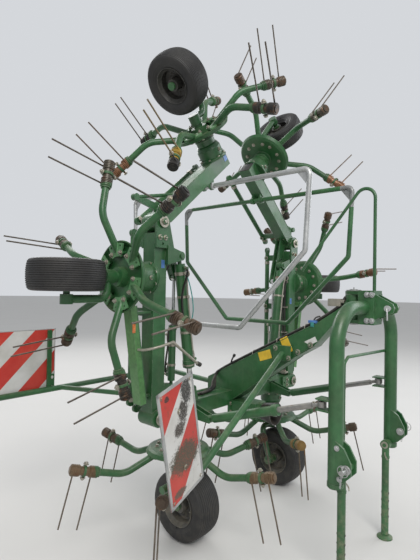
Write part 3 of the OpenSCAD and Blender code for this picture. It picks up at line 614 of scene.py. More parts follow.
def rotor_finish(name, at, first, tones, colour, faded):
    """Green arms and dish, and coils with tines whose tone differs from arm to arm."""
    material, tree, shader, p = principled(name)
    age = place_group(tree, GROUPS["age"], Position=p, Rust=0.34, Dust=0.34, Mud=0.40)
    paint, tone = painted(tree, p, age, colour, faded)
    worn = place_group(tree, GROUPS["edge"], Position=p).outputs["Edge"]
    paint = blend_colour(tree, calc(tree, "MULTIPLY", worn, 0.7), paint, (0.16, 0.12, 0.08, 1))
    rusty = blend_colour(tree, noise(tree, p, 110.0, 5.0, 0.7), (0.060, 0.026, 0.013, 1),
                         (0.22, 0.095, 0.038, 1))
    basis = at.to_3x3().normalized()
    centre = at.translation
    saddle = zone_mask(tree, p, (centre, basis.col[2], 0.116, 0.199, -0.040, -0.0225))
    pale = blend_colour(tree, tone, (0.075, 0.215, 0.085, 1), (0.13, 0.29, 0.14, 1))
    paint = blend_colour(tree, calc(tree, "MULTIPLY", saddle, 0.8), paint, pale)
    paint = blend_colour(tree, calc(tree, "MULTIPLY", age.outputs["Rust"], 0.85), paint, rusty)
    # Place around the rotor's axis, as the number of the nearest arm
    away = vector_math(tree, "SUBTRACT", p, centre).outputs[0]
    angle = calc(tree, "ARCTAN2", along_axis(tree, away, basis.col[1]), along_axis(tree, away, basis.col[0]))
    turn = calc(tree, "ADD", calc(tree, "DIVIDE", angle, math.pi / 3), 12.5 - first / 60)
    number = calc(tree, "FLOOR", calc(tree, "MODULO", turn, 6.0))
    steel = shade(TONES[tones[0]])
    for k, label in enumerate(tones[1:], start=1):
        steel = blend_colour(tree, same_number(tree, number, k), steel, shade(TONES[label]))
    dim = blend_colour(tree, noise(tree, p, 26.0, 5.0, 0.65), (0.40, 0.38, 0.36, 1), (1.0, 1.0, 1.0, 1))
    product = add(tree, "ShaderNodeMix", data_type="RGBA", blend_type="MULTIPLY", clamp_factor=True)
    product.inputs[0].default_value = 0.8
    tree.links.new(steel, product.inputs[6])
    tree.links.new(dim, product.inputs[7])
    patchy = remap(tree, noise(tree, p, 19.0, 7.0, 0.7), 0.50, 0.66)
    steel = blend_colour(tree, calc(tree, "MULTIPLY", patchy, 0.7), product.outputs[2], rusty)
    away_r, along = from_axis(tree, p, centre, basis.col[2])
    coils = remap(tree, away_r, 0.544, 0.546)
    # A yellow coil pair is black outside
    outside = calc(tree, "MULTIPLY", remap(tree, away_r, 0.628, 0.632), remap(tree, along, -0.105, -0.095))
    for k, label in enumerate(tones):
        if label == "yellow":
            hit = calc(tree, "MULTIPLY", same_number(tree, number, k), outside)
            steel = blend_colour(tree, hit, steel, shade(TONES["black"]))
    tine = remap(tree, along, -0.097, -0.103)
    bare = blend_colour(tree, tone, (0.075, 0.060, 0.048, 1), (0.145, 0.125, 0.105, 1))
    steel = blend_colour(tree, calc(tree, "MULTIPLY", tine, 0.8), steel, bare)
    base = blend_colour(tree, coils, paint, steel)
    earth = blend_colour(tree, tone, (0.29, 0.25, 0.18, 1), (0.17, 0.145, 0.10, 1))
    base = blend_colour(tree, age.outputs["Dust"], base, earth)
    tree.links.new(base, shader.inputs["Base Color"])
    dull = calc(tree, "MAXIMUM", age.outputs["Rust"], age.outputs["Dust"])
    tree.links.new(remap(tree, dull, 0.0, 1.0, 0.40, 0.86), shader.inputs["Roughness"])
    bright = calc(tree, "SUBTRACT", 0.40, calc(tree, "MULTIPLY", dull, 0.40))
    shine = calc(tree, "MULTIPLY", coils, bright)
    tree.links.new(shine, shader.inputs["Metallic"])
    add_bump(tree, shader, age.outputs["Height"], 0.4, 0.0013)
    return material


def plain_finish(name, colour, rough, mottled=0.25, scale=30.0, coat=0.0):
    """Rubber, plastic or rope whose tone varies a little."""
    material, tree, shader, p = principled(name)
    fac = remap(tree, noise(tree, p, scale, 6.0, 0.6), 0.3, 0.7)
    age = place_group(tree, GROUPS["age"], Position=p, Rust=0.0, Dust=0.35, Mud=0.3)
    base = blend_colour(tree, fac, shade(colour, 1 - mottled), shade(colour, 1 + mottled))
    base = blend_colour(tree, calc(tree, "MULTIPLY", age.outputs["Dust"], 0.7), base, (0.28, 0.24, 0.17, 1))
    tree.links.new(base, shader.inputs["Base Color"])
    roughness = remap(tree, fac, 0.0, 1.0, rough - 0.06, min(1.0, rough + 0.1))
    tree.links.new(roughness, shader.inputs["Roughness"])
    shader.inputs["Coat Weight"].default_value = coat
    add_bump(tree, shader, age.outputs["Height"], 0.15, 0.001)
    return material


def stripe_finish(name, at, width, shift, rust_amount, dust_amount, scars=()):
    """Red and white slanting stripes of a warning board, and the places where its foil is worn off."""
    material, tree, shader, p = principled(name)
    age = place_group(tree, GROUPS["age"], Position=p, Rust=rust_amount, Dust=dust_amount, Mud=0.15)
    away = vector_math(tree, "SUBTRACT", p, at.translation).outputs[0]
    basis = at.to_3x3().normalized()

    def along(direction):
        return along_axis(tree, away, basis @ Vector(direction))

    across = calc(tree, "DIVIDE", along((1, 0, -1)), 2 * width)
    wave = calc(tree, "FRACT", calc(tree, "ADD", across, 20.25 + shift))
    red_mask = remap(tree, calc(tree, "ABSOLUTE", calc(tree, "SUBTRACT", wave, 0.5)), 0.247, 0.253)
    red = blend_colour(tree, age.outputs["Fade"], (0.42, 0.022, 0.018, 1), (0.50, 0.050, 0.034, 1))
    white = blend_colour(tree, age.outputs["Fade"], (0.58, 0.575, 0.56, 1), (0.44, 0.43, 0.40, 1))
    base = blend_colour(tree, red_mask, red, white)
    scuffs = remap(tree, noise(tree, p, 12.0, 9.0, 0.72, 0.6), 0.62 - 0.2 * rust_amount, 0.72)
    grime = blend_colour(tree, noise(tree, p, 70.0, 5.0, 0.7), (0.030, 0.022, 0.018, 1),
                         (0.13, 0.075, 0.045, 1))
    base = blend_colour(tree, calc(tree, "MULTIPLY", scuffs, min(1.0, rust_amount * 1.2)), base, grime)
    ragged = calc(tree, "SUBTRACT", noise(tree, p, 48.0, 12.0, 0.85, 0.9), 0.5)
    speckle = remap(tree, noise(tree, p, 160.0, 4.0, 0.7), 0.34, 0.50, 0.55, 1.0)
    side_way, up_way = along((1, 0, 0)), along((0, 0, 1))
    for x, z, half_w, half_h, colour in scars:
        dx = calc(tree, "DIVIDE", calc(tree, "SUBTRACT", side_way, x), half_w)
        dz = calc(tree, "DIVIDE", calc(tree, "SUBTRACT", up_way, z), half_h)
        squares = calc(tree, "ADD", calc(tree, "MULTIPLY", dx, dx), calc(tree, "MULTIPLY", dz, dz))
        round_d = calc(tree, "ADD", calc(tree, "SQRT", squares), calc(tree, "MULTIPLY", ragged, 3.2))
        worn = calc(tree, "MULTIPLY", remap(tree, round_d, 1.20, 0.80), speckle)
        bared = blend_colour(tree, noise(tree, p, 55.0, 6.0, 0.7), shade(colour), shade(colour, 0.45))
        base = blend_colour(tree, worn, base, bared)
    base = blend_colour(tree, calc(tree, "MULTIPLY", age.outputs["Rust"], min(1.0, rust_amount * 1.4)), base,
                        (0.12, 0.05, 0.025, 1))
    base = blend_colour(tree, calc(tree, "MULTIPLY", age.outputs["Dust"], 0.5), base, (0.33, 0.29, 0.22, 1))
    tree.links.new(base, shader.inputs["Base Color"])
    tree.links.new(remap(tree, age.outputs["Dust"], 0.0, 1.0, 0.36, 0.75), shader.inputs["Roughness"])
    add_bump(tree, shader, age.outputs["Height"], 0.25, 0.0008)
    return material


class TedderLook(bpy.types.PropertyGroup):
    """Sizes and colours that a user would change"""
    paint: bpy.props.FloatVectorProperty(name="Paint", description="Colour of the machine's green paint",
                                         default=(0.011, 0.078, 0.021), subtype="COLOR", size=3, min=0, max=1)
    paint_faded: bpy.props.FloatVectorProperty(name="Faded Paint",
                                               description="Colour of the paint where it faded",
                                               default=(0.026, 0.128, 0.039), subtype="COLOR", size=3, min=0,
                                               max=1)
    floor: bpy.props.FloatVectorProperty(name="Floor", description="Colour of the pale floor",
                                         default=(0.62, 0.61, 0.59), subtype="COLOR", size=3, min=0, max=1)
    sky: bpy.props.FloatVectorProperty(name="Background", description="Colour behind the machine",
                                       default=(0.66, 0.68, 0.71), subtype="COLOR", size=3, min=0, max=1)
    tyre_ribs: bpy.props.IntProperty(name="Tyre Ribs", description="Ribs side by side on a wing tyre",
                                     default=13, min=3, max=15)
    rib_depth: bpy.props.FloatProperty(name="Rib Depth", description="Depth of a tyre's grooves",
                                       default=0.0035, unit="LENGTH", min=0.001, max=0.012)
    boom_bolt: bpy.props.FloatProperty(name="Boom Bolt", description="Width across the flats of a boom bolt",
                                       default=0.024, unit="LENGTH", min=0.01, max=0.04)
    stripe: bpy.props.FloatProperty(name="Stripe", description="Width of a warning board's stripe",
                                    default=0.10, unit="LENGTH", min=0.03, max=0.2)
    hose: bpy.props.FloatProperty(name="Hose", description="Diameter of a hydraulic hose", default=0.017,
                                  unit="LENGTH", min=0.008, max=0.03)


class TEDDER_OT_stage(bpy.types.Operator):
    """Sets the pale floor, the soft light and the camera at the photo's angle"""
    bl_idname = "tedder.stage"
    bl_label = "Stage"

    def execute(self, context):
        look = context.scene.tedder_look
        scene = context.scene
        bm = bmesh.new()
        bmesh.ops.create_circle(bm, cap_ends=True, segments=96, radius=60)
        mesh = bpy.data.meshes.new("floor")
        bm.to_mesh(mesh)
        bm.free()
        material, tree, shader, p = principled("pale_floor")
        soft = noise(tree, p, 0.8, 3.0, 0.5)
        tree.links.new(blend_colour(tree, soft, shade(look.floor), shade(look.floor, 0.93)),
                       shader.inputs["Base Color"])
        shader.inputs["Roughness"].default_value = 0.85
        mesh.materials.append(material)
        floor = bpy.data.objects.new("floor", mesh)
        scene.collection.objects.link(floor)

        world = bpy.data.worlds.new("soft_sky")
        world.use_nodes = True
        scene.world = world
        nodes = world.node_tree
        nodes.nodes.clear()
        out = nodes.nodes.new("ShaderNodeOutputWorld")
        light = nodes.nodes.new("ShaderNodeBackground")
        seen = nodes.nodes.new("ShaderNodeBackground")
        mix = nodes.nodes.new("ShaderNodeMixShader")
        path = nodes.nodes.new("ShaderNodeLightPath")
        light.inputs["Color"].default_value = (0.93, 0.96, 1.0, 1)
        light.inputs["Strength"].default_value = 0.62
        seen.inputs["Color"].default_value = (*look.sky, 1)
        seen.inputs["Strength"].default_value = 1.0
        nodes.links.new(path.outputs["Is Camera Ray"], mix.inputs[0])
        nodes.links.new(light.outputs[0], mix.inputs[1])
        nodes.links.new(seen.outputs[0], mix.inputs[2])
        nodes.links.new(mix.outputs[0], out.inputs[0])

        for name, place, size, power, tint in (
                ("key_lamp", (-5.0, -5.5, 7.5), 5.0, 620, (1.0, 0.98, 0.95)),
                ("fill_lamp", (6.5, -3.5, 5.0), 6.0, 260, (0.95, 0.97, 1.0)),
                ("back_lamp", (2.0, 7.0, 6.5), 6.0, 300, (1.0, 1.0, 1.0))):
            data = bpy.data.lights.new(name, "AREA")
            data.shape = "DISK"
            data.size = size
            data.energy = power
            data.color = tint
            lamp = bpy.data.objects.new(name, data)
            lamp.location = place
            lamp.rotation_euler = (Vector((0, 0, 1.4)) - Vector(place)).to_track_quat("-Z", "Y").to_euler()
            scene.collection.objects.link(lamp)

        azimuth, pitch, roll = math.radians(-48.64), math.radians(0.91), math.radians(0.98)
        right = Vector((math.cos(azimuth), math.sin(azimuth), 0))
        level = Vector((-math.sin(azimuth), math.cos(azimuth), 0))
        ahead = level * math.cos(pitch) + Vector((0, 0, math.sin(pitch)))
        above = right.cross(ahead)
        right, above = (right * math.cos(roll) + above * math.sin(roll),
                        above * math.cos(roll) - right * math.sin(roll))
        data = bpy.data.cameras.new("camera")
        data.sensor_fit = "AUTO"
        data.sensor_width = 36
        data.lens = 27.96
        data.clip_end = 200
        camera = bpy.data.objects.new("camera", data)
        turned = Matrix((right, above, -ahead)).transposed().to_4x4()
        turned.translation = Vector((-2.578, -2.041 + ROW_Y * MM, 1.606))
        camera.matrix_world = turned
        scene.collection.objects.link(camera)
        scene.camera = camera
        scene.view_settings.view_transform = "Standard"
        return {"FINISHED"}


class TEDDER_OT_finishes(bpy.types.Operator):
    """Makes the materials and puts them on the solids"""
    bl_idname = "tedder.finishes"
    bl_label = "Paint and Metal"

    def execute(self, context):
        look = context.scene.tedder_look
        GROUPS["age"] = age_group()
        GROUPS["edge"] = edge_group()
        green, faded = tuple(look.paint), tuple(look.paint_faded)
        FINISH["green"] = aged_surface("machine_green", green, faded, 0.22, 0.26, 0.50, rough=(0.34, 0.66),
                                       coat=0.2)
        FINISH["rotor_green"] = aged_surface("rotor_green", green, tuple(c * 0.9 for c in faded), 0.42, 0.55,
                                             0.6)
        FINISH["zinc"] = aged_surface("galvanised_steel", (0.42, 0.43, 0.43), (0.56, 0.57, 0.57), 0.12, 0.25,
                                      0.3, rough=(0.38, 0.6), metal=0.75, edge=False)
        FINISH["steel"] = aged_surface("dull_steel", (0.25, 0.25, 0.25), (0.36, 0.35, 0.33), 0.45, 0.35, 0.4,
                                       rough=(0.35, 0.65), metal=0.8, edge=False)
        FINISH["chrome"] = aged_surface("rod_chrome", (0.62, 0.62, 0.62), (0.70, 0.70, 0.70), 0.02, 0.12, 0.1,
                                        rough=(0.12, 0.30), metal=1.0, bump=0.05, edge=False)
        FINISH["tyre"] = tyre_rubber()
        FINISH["rim"] = aged_surface("rim_dark", (0.050, 0.053, 0.051), (0.105, 0.105, 0.10), 0.35, 0.45, 0.5,
                                     rough=(0.4, 0.65), metal=0.2)
        FINISH["rim_black"] = aged_surface("rim_black", (0.020, 0.021, 0.021), (0.045, 0.045, 0.043), 0.25,
                                           0.3, 0.4, rough=(0.35, 0.6), metal=0.2)
        FINISH["rim_sheet"] = aged_surface("board_rim", (0.34, 0.35, 0.35), (0.46, 0.46, 0.45), 0.25, 0.25,
                                           0.2, rough=(0.45, 0.7), metal=0.3, edge=False)
        # Black plastic of plugs, grips and caps; its discs on the parking stands are the painted shade of
        # holes
        FINISH["black"] = plain_finish("black_plastic_and_hole_shade", (0.016, 0.016, 0.017), 0.5)
        FINISH["hose"] = plain_finish("hose_rubber", (0.014, 0.014, 0.014), 0.6, scale=80.0)
        FINISH["bolt"] = aged_surface("bolt_zinc", (0.36, 0.34, 0.28), (0.46, 0.44, 0.38), 0.5, 0.35, 0.3,
                                      rough=(0.35, 0.6), metal=0.85, edge=False)
        FINISH["orange"] = plain_finish("reflector_orange", (0.62, 0.16, 0.03), 0.22, coat=0.6, scale=60.0)
        FINISH["yellow"] = plain_finish("patch_yellow", (0.68, 0.45, 0.03), 0.4, mottled=0.12, coat=0.3)
        FINISH["blue"] = plain_finish("patch_blue", (0.05, 0.16, 0.42), 0.4, coat=0.3)
        FINISH["white"] = plain_finish("patch_white", (0.62, 0.62, 0.60), 0.42, mottled=0.08, coat=0.2)
        FINISH["teal"] = plain_finish("rope_teal", (0.03, 0.22, 0.20), 0.8, scale=140.0)

        self.solids(look)
        return {"FINISHED"}

    def solids(self, look):
        """Gives the solids their finishes, with one of their own for the rotors and zoned parts."""
        by_slot = {"green_paint": "green", "galvanised": "zinc", "grey_steel": "steel",
                   "rod_chrome": "chrome", "tyre": "tyre", "board_paint": "white"}
        for node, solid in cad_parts.items():
            for slot in solid.material_slots:
                slot.material = FINISH[by_slot.get(slot.material.name.split(".")[0], "green")]
        green, faded = tuple(look.paint), tuple(look.paint_faded)
        zinc, black = (0.40, 0.41, 0.40), (0.018, 0.018, 0.019)
        row = row_matrix().translation
        ahead, level, up = Vector((0, 1, 0)), Vector((1, 0, 0)), Vector((0, 0, 1))
        shaft = row + Vector((0, -300, INPUT_Z)) * MM
        swivel = row + Vector((0, SWIVEL_Y, SWIVEL_Z)) * MM
        link_y, link_z = LINK_PIN
        # Bare metal of the input shaft, the swivel pin and the link pins, and the shaft's black cone
        zoned = {"main_gearbox": [((shaft, -ahead, 0, 0.022, -0.002, 0.2), zinc, 0.8),
                                  ((shaft, -ahead, 0.0395, 0.09, 0.003, 0.2), black, 0.0)],
                 "headstock_head": [((swivel, way, 0, 0.0262, 0.0965, 0.2), zinc, 0.8) for way in (up, -up)],
                 "headstock_arch": [((row + Vector((s * (LEG_X + 38.6), -link_y, link_z)) * MM, s * level, 0,
                                      0.0146, 0.0, 0.2), zinc, 0.8) for s in (1, -1)]}
        for side, end in SIDES:
            # Brighter green of the shaft guard channel
            at = stage_matrix(1, side)
            start, stop = at @ Vector((97, 0, -117)), at @ Vector((684, 0, -208))
            length = (stop - start).length
            zoned["inner_beam_" + end] = [((start, stop - start, 0, 0.052, -0.002, length + 0.002),
                                           (0.070, 0.215, 0.060), 0.0)]
        # Bare corners of the left guard, where the paint is worn through to the zinc
        pivot = stage_matrix(2, 1) @ Vector((GUARD_U, 0, GUARD_V))
        zoned["guard_left"] = [((pivot, way, 0, 0.14, 0.715, 0.86), (0.27, 0.28, 0.28), 0.5)
                               for way in (ahead, -ahead)]
        for node, zones in zoned.items():
            FINISH[node] = aged_surface(node + "_finish", green, faded, 0.22, 0.26, 0.50, rough=(0.34, 0.66),
                                        coat=0.2, zones=zones)
            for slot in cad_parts[node].material_slots:
                slot.material = FINISH[node]
        for (place, side), tones in COIL_TONES.items():
            name = "rotor_" + ROW_NAME[place] + ("_left" if side > 0 else "_right")
            at = stage_matrix(place, side) @ Matrix.Translation((ROTOR_U[place], 0, -DISC_DROP))
            FINISH[name] = rotor_finish(name + "_finish", at, FIRST_ARM[(place, side)], tones, green, faded)
            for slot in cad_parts[name].material_slots:
                slot.material = FINISH[name]


class TEDDER_OT_wheels(bpy.types.Operator):
    """Makes the ribbed tyres with their dished rims"""
    bl_idname = "tedder.wheels"
    bl_label = "Wheels"

    def execute(self, context):
        look = context.scene.tedder_look
        for side, end in SIDES:
            for place in range(3):
                d, w, hub = WING_WHEEL if place else CENTRE_WHEEL
                lead = 0 if place else -80
                ribs = look.tyre_ribs if place else look.tyre_ribs - 2
                name = "wheel_" + ROW_NAME[place] + "_" + end
                at = stage_matrix(place, side) @ Matrix.Translation((ROTOR_U[place], lead, d / 2 - BEAM_Z)) \
                    @ Matrix.Rotation(math.radians(90), 4, "Y")
                self.tyre(name, d / 2, w, ribs, look.rib_depth / MM, at)
                self.rim(name, d / 2, w, hub, FINISH["rim_black" if place else "rim"], at)
        return {"FINISHED"}

    def tyre(self, name, r, w, ribs, depth, at):
        """Hollow tyre with ribs that run around its tread, and its valve."""
        rim_r = r * 0.53
        half = [(rim_r + 1, w * 0.33), (rim_r + 2, w * 0.385), (rim_r + 9, w * 0.425),
                (rim_r + 14, w * 0.432), (rim_r + 17, w * 0.447), (r * 0.68, w * 0.480),
                (r * 0.70, w * 0.487), (r * 0.705, w * 0.493), (r * 0.735, w * 0.498), (r * 0.78, w * 0.500),
                (r * 0.83, w * 0.497), (r * 0.87, w * 0.488), (r * 0.905, w * 0.474), (r * 0.93, w * 0.458),
                (r * 0.935, w * 0.450)]
        crown = []
        pitch = 0.86 * w / ribs

        def crest(x):
            return r - 0.05 - 12.5 * (abs(x) / (w / 2)) ** 2.4

        for i in range(ribs):
            x0 = -0.43 * w + i * pitch
            for step, low in ((0.07, depth), (0.15, 0.6), (0.24, 0), (0.76, 0), (0.85, 0.6), (0.93, depth)):
                x = x0 + step * pitch
                crown.append((crest(x) - low, x))
        profile = [(a, -b) for a, b in half] + crown + [(a, b) for a, b in reversed(half)]
        inner = [(rim_r + 14, w * 0.30), (r * 0.88, w * 0.36), (r * 0.88, -w * 0.36), (rim_r + 14, -w * 0.30)]
        bm = bmesh.new()
        lathe(bm, profile + inner, steps=96)
        disc_bar(bm, 4, 18, aim((rim_r + 9, 0, w * 0.395), (0.25, 0, 1)), segments=10)
        piece = settle(bm, name + "_tyre", FINISH["tyre"], name, at, smooth=28)
        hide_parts(name)

    def rim(self, name, r, w, hub, finish, at):
        """Dished rim with its hub and five wheel bolts."""
        rim_r = r * 0.53
        # Well and outer flange, dish, hub, back of the dish, and inner flange
        profile = [(rim_r, -w * 0.34), (rim_r - 9, -w * 0.30), (rim_r - 12, -w * 0.14),
                   (rim_r - 12, w * 0.14), (rim_r - 9, w * 0.30), (rim_r, w * 0.34), (rim_r + 1, w * 0.385),
                   (rim_r + 8, w * 0.43), (rim_r + 8, w * 0.445), (rim_r + 4, w * 0.447),
                   (rim_r - 3, w * 0.39), (rim_r - 6, w * 0.35), (rim_r - 13, w * 0.31),
                   (rim_r - 17, 14), (rim_r - 30, 7), (62, 10), (54, 20), (46, 24),
                   (44, hub - 8), (41, hub), (17.6, hub), (17.6, -hub), (38, -hub), (40, -hub + 8), (41, 2),
                   (56, -2), (62, 0), (rim_r - 30, -3), (rim_r - 17, -6), (rim_r - 14, -w * 0.16),
                   (rim_r - 13, -w * 0.31), (rim_r - 6, -w * 0.35), (rim_r - 3, -w * 0.39),
                   (rim_r + 4, -w * 0.447), (rim_r + 8, -w * 0.445), (rim_r + 8, -w * 0.43),
                   (rim_r + 1, -w * 0.385)]
        bm = bmesh.new()
        lathe(bm, profile, steps=64)
        for k in range(5):
            a = 2 * math.pi * k / 5 + 0.3
            place = Vector((math.cos(a), math.sin(a), 0)) * WHEEL_BOLT_RHO
            front, back = place + Vector((0, 0, 9.4)), place + Vector((0, 0, -0.6))
            bolt(bm, front, (0, 0, 1), across=17, head=9, stud=6, index=1, turn=a)
            bolt(bm, back, (0, 0, -1), across=17, head=7, washer=False, index=1, turn=a)
        settle(bm, name + "_rim", [finish, FINISH["bolt"]], name, at, smooth=32)


class TEDDER_OT_rotors(bpy.types.Operator):
    """Adds the bolts of the arm saddles, the hub rings, the coil windings and the tine clamps"""
    bl_idname = "tedder.rotors"
    bl_label = "Rotor Fittings"

    def execute(self, context):
        bm = bmesh.new()
        self.arm(bm)
        arm_mesh = bpy.data.meshes.new("arm_fittings")
        bm.to_mesh(arm_mesh)
        bm.free()
        for side, end in SIDES:
            for place in range(3):
                name = "rotor_" + ROW_NAME[place] + "_" + end
                at = stage_matrix(place, side) @ Matrix.Translation((ROTOR_U[place], 0, -DISC_DROP))
                bm = bmesh.new()
                for k in range(6):
                    start = len(bm.verts)
                    bm.from_mesh(arm_mesh)
                    bm.verts.ensure_lookup_table()
                    turn = Matrix.Rotation(math.radians(FIRST_ARM[(place, side)]) + k * math.pi / 3, 4, "Z")
                    bmesh.ops.transform(bm, matrix=turn, verts=bm.verts[start:])
                lathe(bm, [(57, 8), (72, 8), (72, 11), (68, 14), (60, 15), (57, 15)], steps=48, index=1)
                settle(bm, name + "_fittings", [FINISH["bolt"], FINISH["rotor_green"], FINISH[name]], name,
                       at)
        bpy.data.meshes.remove(arm_mesh)
        return {"FINISHED"}

    def arm(self, bm):
        """Fittings of one arm, which points along X."""
        for s in (-1, 1):
            around = Matrix.Rotation(math.radians(s * 17), 4, "Z")
            bolt(bm, around @ Vector((SADDLE_BOLT_RHO, 0, 8)), (0, 0, 1), head=9)
            bolt(bm, around @ Vector((SADDLE_BOLT_RHO, 0, -34)), (0, 0, -1), head=9, stud=7)
        # Windings of the coil pair, the collar that stops it, and its bolt
        pair = Matrix.Translation((COIL_RHO, 0, -ARM_SAG + (COIL_RHO - ARM_BEND_R) * math.tan(ARM_RISE))) \
            @ Matrix.Rotation(math.pi / 2 - ARM_RISE, 4, "Y")
        for s in (-1, 1):
            middle = s * TINE_GAP / 2
            low = pair @ Matrix.Translation((0, 0, middle - 22))
            helix(bm, COIL_R - 3.2, TINE_WIRE_R, 10.6, 4.2, low, start=0.4 * s, index=2)
            hook = [(-4, COIL_R - 5, middle), (12, COIL_R - 4.5, middle), (44, COIL_R - 4.8, middle)]
            tube(bm, hook, TINE_WIRE_R, pair, segments=8, index=2, rounds=0)
        band(bm, 24, 15, 9, pair, index=1)
        band(bm, 21.4, 8, 7, pair @ Matrix.Translation((0, 0, -TINE_GAP / 2 - 33)), index=1)
        down = pair.to_3x3().col[0]
        bolt(bm, pair @ Vector((-COIL_R - 7, 0, 0)), -down, across=22, head=11)
        bolt(bm, pair @ Vector((COIL_R + 3, 0, 0)), down, across=22, head=10, stud=6)


class TEDDER_OT_gear_cases(bpy.types.Operator):
    """Adds the flange bolts, plugs and cooling ribs of the gear cases"""
    bl_idname = "tedder.gear_cases"
    bl_label = "Gear Cases"

    def execute(self, context):
        for side, end in SIDES:
            for place in range(3):
                bm = bmesh.new()
                at = stage_matrix(place, side) @ Matrix.Translation((ROTOR_U[place], 0, 0))
                for k in range(8):
                    a = math.pi * (k + 0.5) / 4
                    spot = Vector((math.cos(a), math.sin(a), 0)) * FLANGE_BOLT_RHO
                    spot.z = -HALF_W - 14.5
                    bolt(bm, spot, (0, 0, -1), across=16, head=8, washer=False, index=1, turn=a)
                for k in range(8):
                    turned = Matrix.Rotation(math.pi * k / 4, 4, "Z")
                    slab(bm, (60, -3.5, -146), (80, 3.5, -78), turned, bevel=1.2, segments=1, index=0)
                disc_bar(bm, 13, 9, aim((0, -84, -104), (0, -1, 0)), segments=24, index=1)
                bolt(bm, (0, -92, -104), (0, -1, 0), across=17, head=8, washer=False, index=1)
                lathe(bm, [(66.5, -204), (70, -204), (72, -200), (72, -194), (66.5, -192)], steps=40, index=0)
                name = "gear_case_" + ROW_NAME[place] + "_" + end
                settle(bm, name + "_fittings", [FINISH["green"], FINISH["bolt"]], body_at(place, side),
                       at)
        return {"FINISHED"}


class TEDDER_OT_hinges(bpy.types.Operator):
    """Adds the washers, nuts, bolts and grease nipples of the wings' hinges"""
    bl_idname = "tedder.hinges"
    bl_label = "Hinges"

    def execute(self, context):
        for side, end in SIDES:
            for place, u in ((0, HINGE_X), (1, OUTER_HINGE_U)):
                bm = bmesh.new()
                for s in (-1, 1):
                    face = s * (CHEEK_Y + CHEEK_T)
                    out = (0, s, 0)
                    bore = HINGE_PIN_R + 0.5
                    lathe(bm, [(bore, 0), (36, 0), (37, 1), (37, 4), (36, 5), (bore, 5)],
                          aim((u, face + s * 9, 0), out), steps=40, index=1)
                    bolt(bm, (u, face + s * 12, 0), out, across=36, head=12, washer=False, stud=6, index=1)
                    for dv in (22, -22):
                        bolt(bm, (u - 96, face, dv), out, across=22, head=9, stud=4, index=1)
                    nipple = aim((u, s * (CHEEK_Y + CHEEK_T / 2), 54), (0, 0, 1))
                    disc_bar(bm, 4, 9, nipple, segments=10, index=1)
                name = ("inner" if place == 0 else "outer") + "_hinge_" + end
                settle(bm, name + "_fittings", [FINISH["green"], FINISH["bolt"]], body_at(place, side),
                       stage_matrix(place, side))
        return {"FINISHED"}


class TEDDER_OT_boards(bpy.types.Operator):
    """Adds the striped faces, rims and clamps of the two warning boards"""
    bl_idname = "tedder.boards"
    bl_label = "Warning Boards"

    def execute(self, context):
        look = context.scene.tedder_look
        front_at = row_matrix() @ Matrix.Translation((-1128, -604, 893)) \
            @ Matrix.Rotation(math.radians(11), 4, "Z") @ Matrix.Rotation(math.radians(-13), 4, "Y")
        rear_at = row_matrix() @ Matrix.Translation((-1228, 750, 1090))
        for node, at, (w, h), back, stripe, shift, rust, dust, scars in (
                ("front_board", front_at, FRONT_BOARD, -5, 1.5 * look.stripe, 0.0, 0.45, 0.3, FRONT_SCARS),
                ("rear_board", rear_at, REAR_BOARD, 0, look.stripe, 0.5, 0.10, 0.2, ())):
            finish = stripe_finish(node + "_stripes", at, stripe, shift, rust, dust, scars)
            bm = bmesh.new()
            slab(bm, (-w / 2, back, -h / 2), (w / 2, back + 5, h / 2), bevel=0.8, segments=1, index=0)
            sheet_edge = 15 if node == "front_board" else 5
            for low, high in (((-w / 2, -h / 2), (w / 2, -h / 2 + sheet_edge)),
                              ((-w / 2, h / 2 - sheet_edge), (w / 2, h / 2)),
                              ((-w / 2, -h / 2), (-w / 2 + sheet_edge, h / 2)),
                              ((w / 2 - sheet_edge, -h / 2), (w / 2, h / 2))):
                slab(bm, (low[0], back - 1.6, low[1]), (high[0], back + 6.6, high[1]), bevel=0.7, segments=1,
                     index=1)
            for x in (-w / 2 + 26, w / 2 - 26):
                for z in (-h / 2 + 26, h / 2 - 26):
                    bolt(bm, (x, back, z), (0, -1, 0), across=11, head=4, index=2)
            if node == "front_board":
                for z in (h * 0.25, -h * 0.25):
                    bolt(bm, (0, back, z), (0, -1, 0), across=17, head=7, index=2)
            else:
                # Green clamp of the rear board's post
                slab(bm, (w / 2 - 50, back - 9, -h / 2 + 2), (w / 2 - 6, back, -h / 2 + 112), bevel=1.5,
                     segments=1, index=3)
                for z in (-h / 2 + 22, -h / 2 + 92):
                    bolt(bm, (w / 2 - 26, back - 9, z), (0, -1, 0), across=17, head=7, index=2)
            piece = settle(bm, node + "_face", [finish, FINISH["rim_sheet"], FINISH["bolt"], FINISH["green"]],
                           "frame", at)
            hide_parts(node)
        return {"FINISHED"}


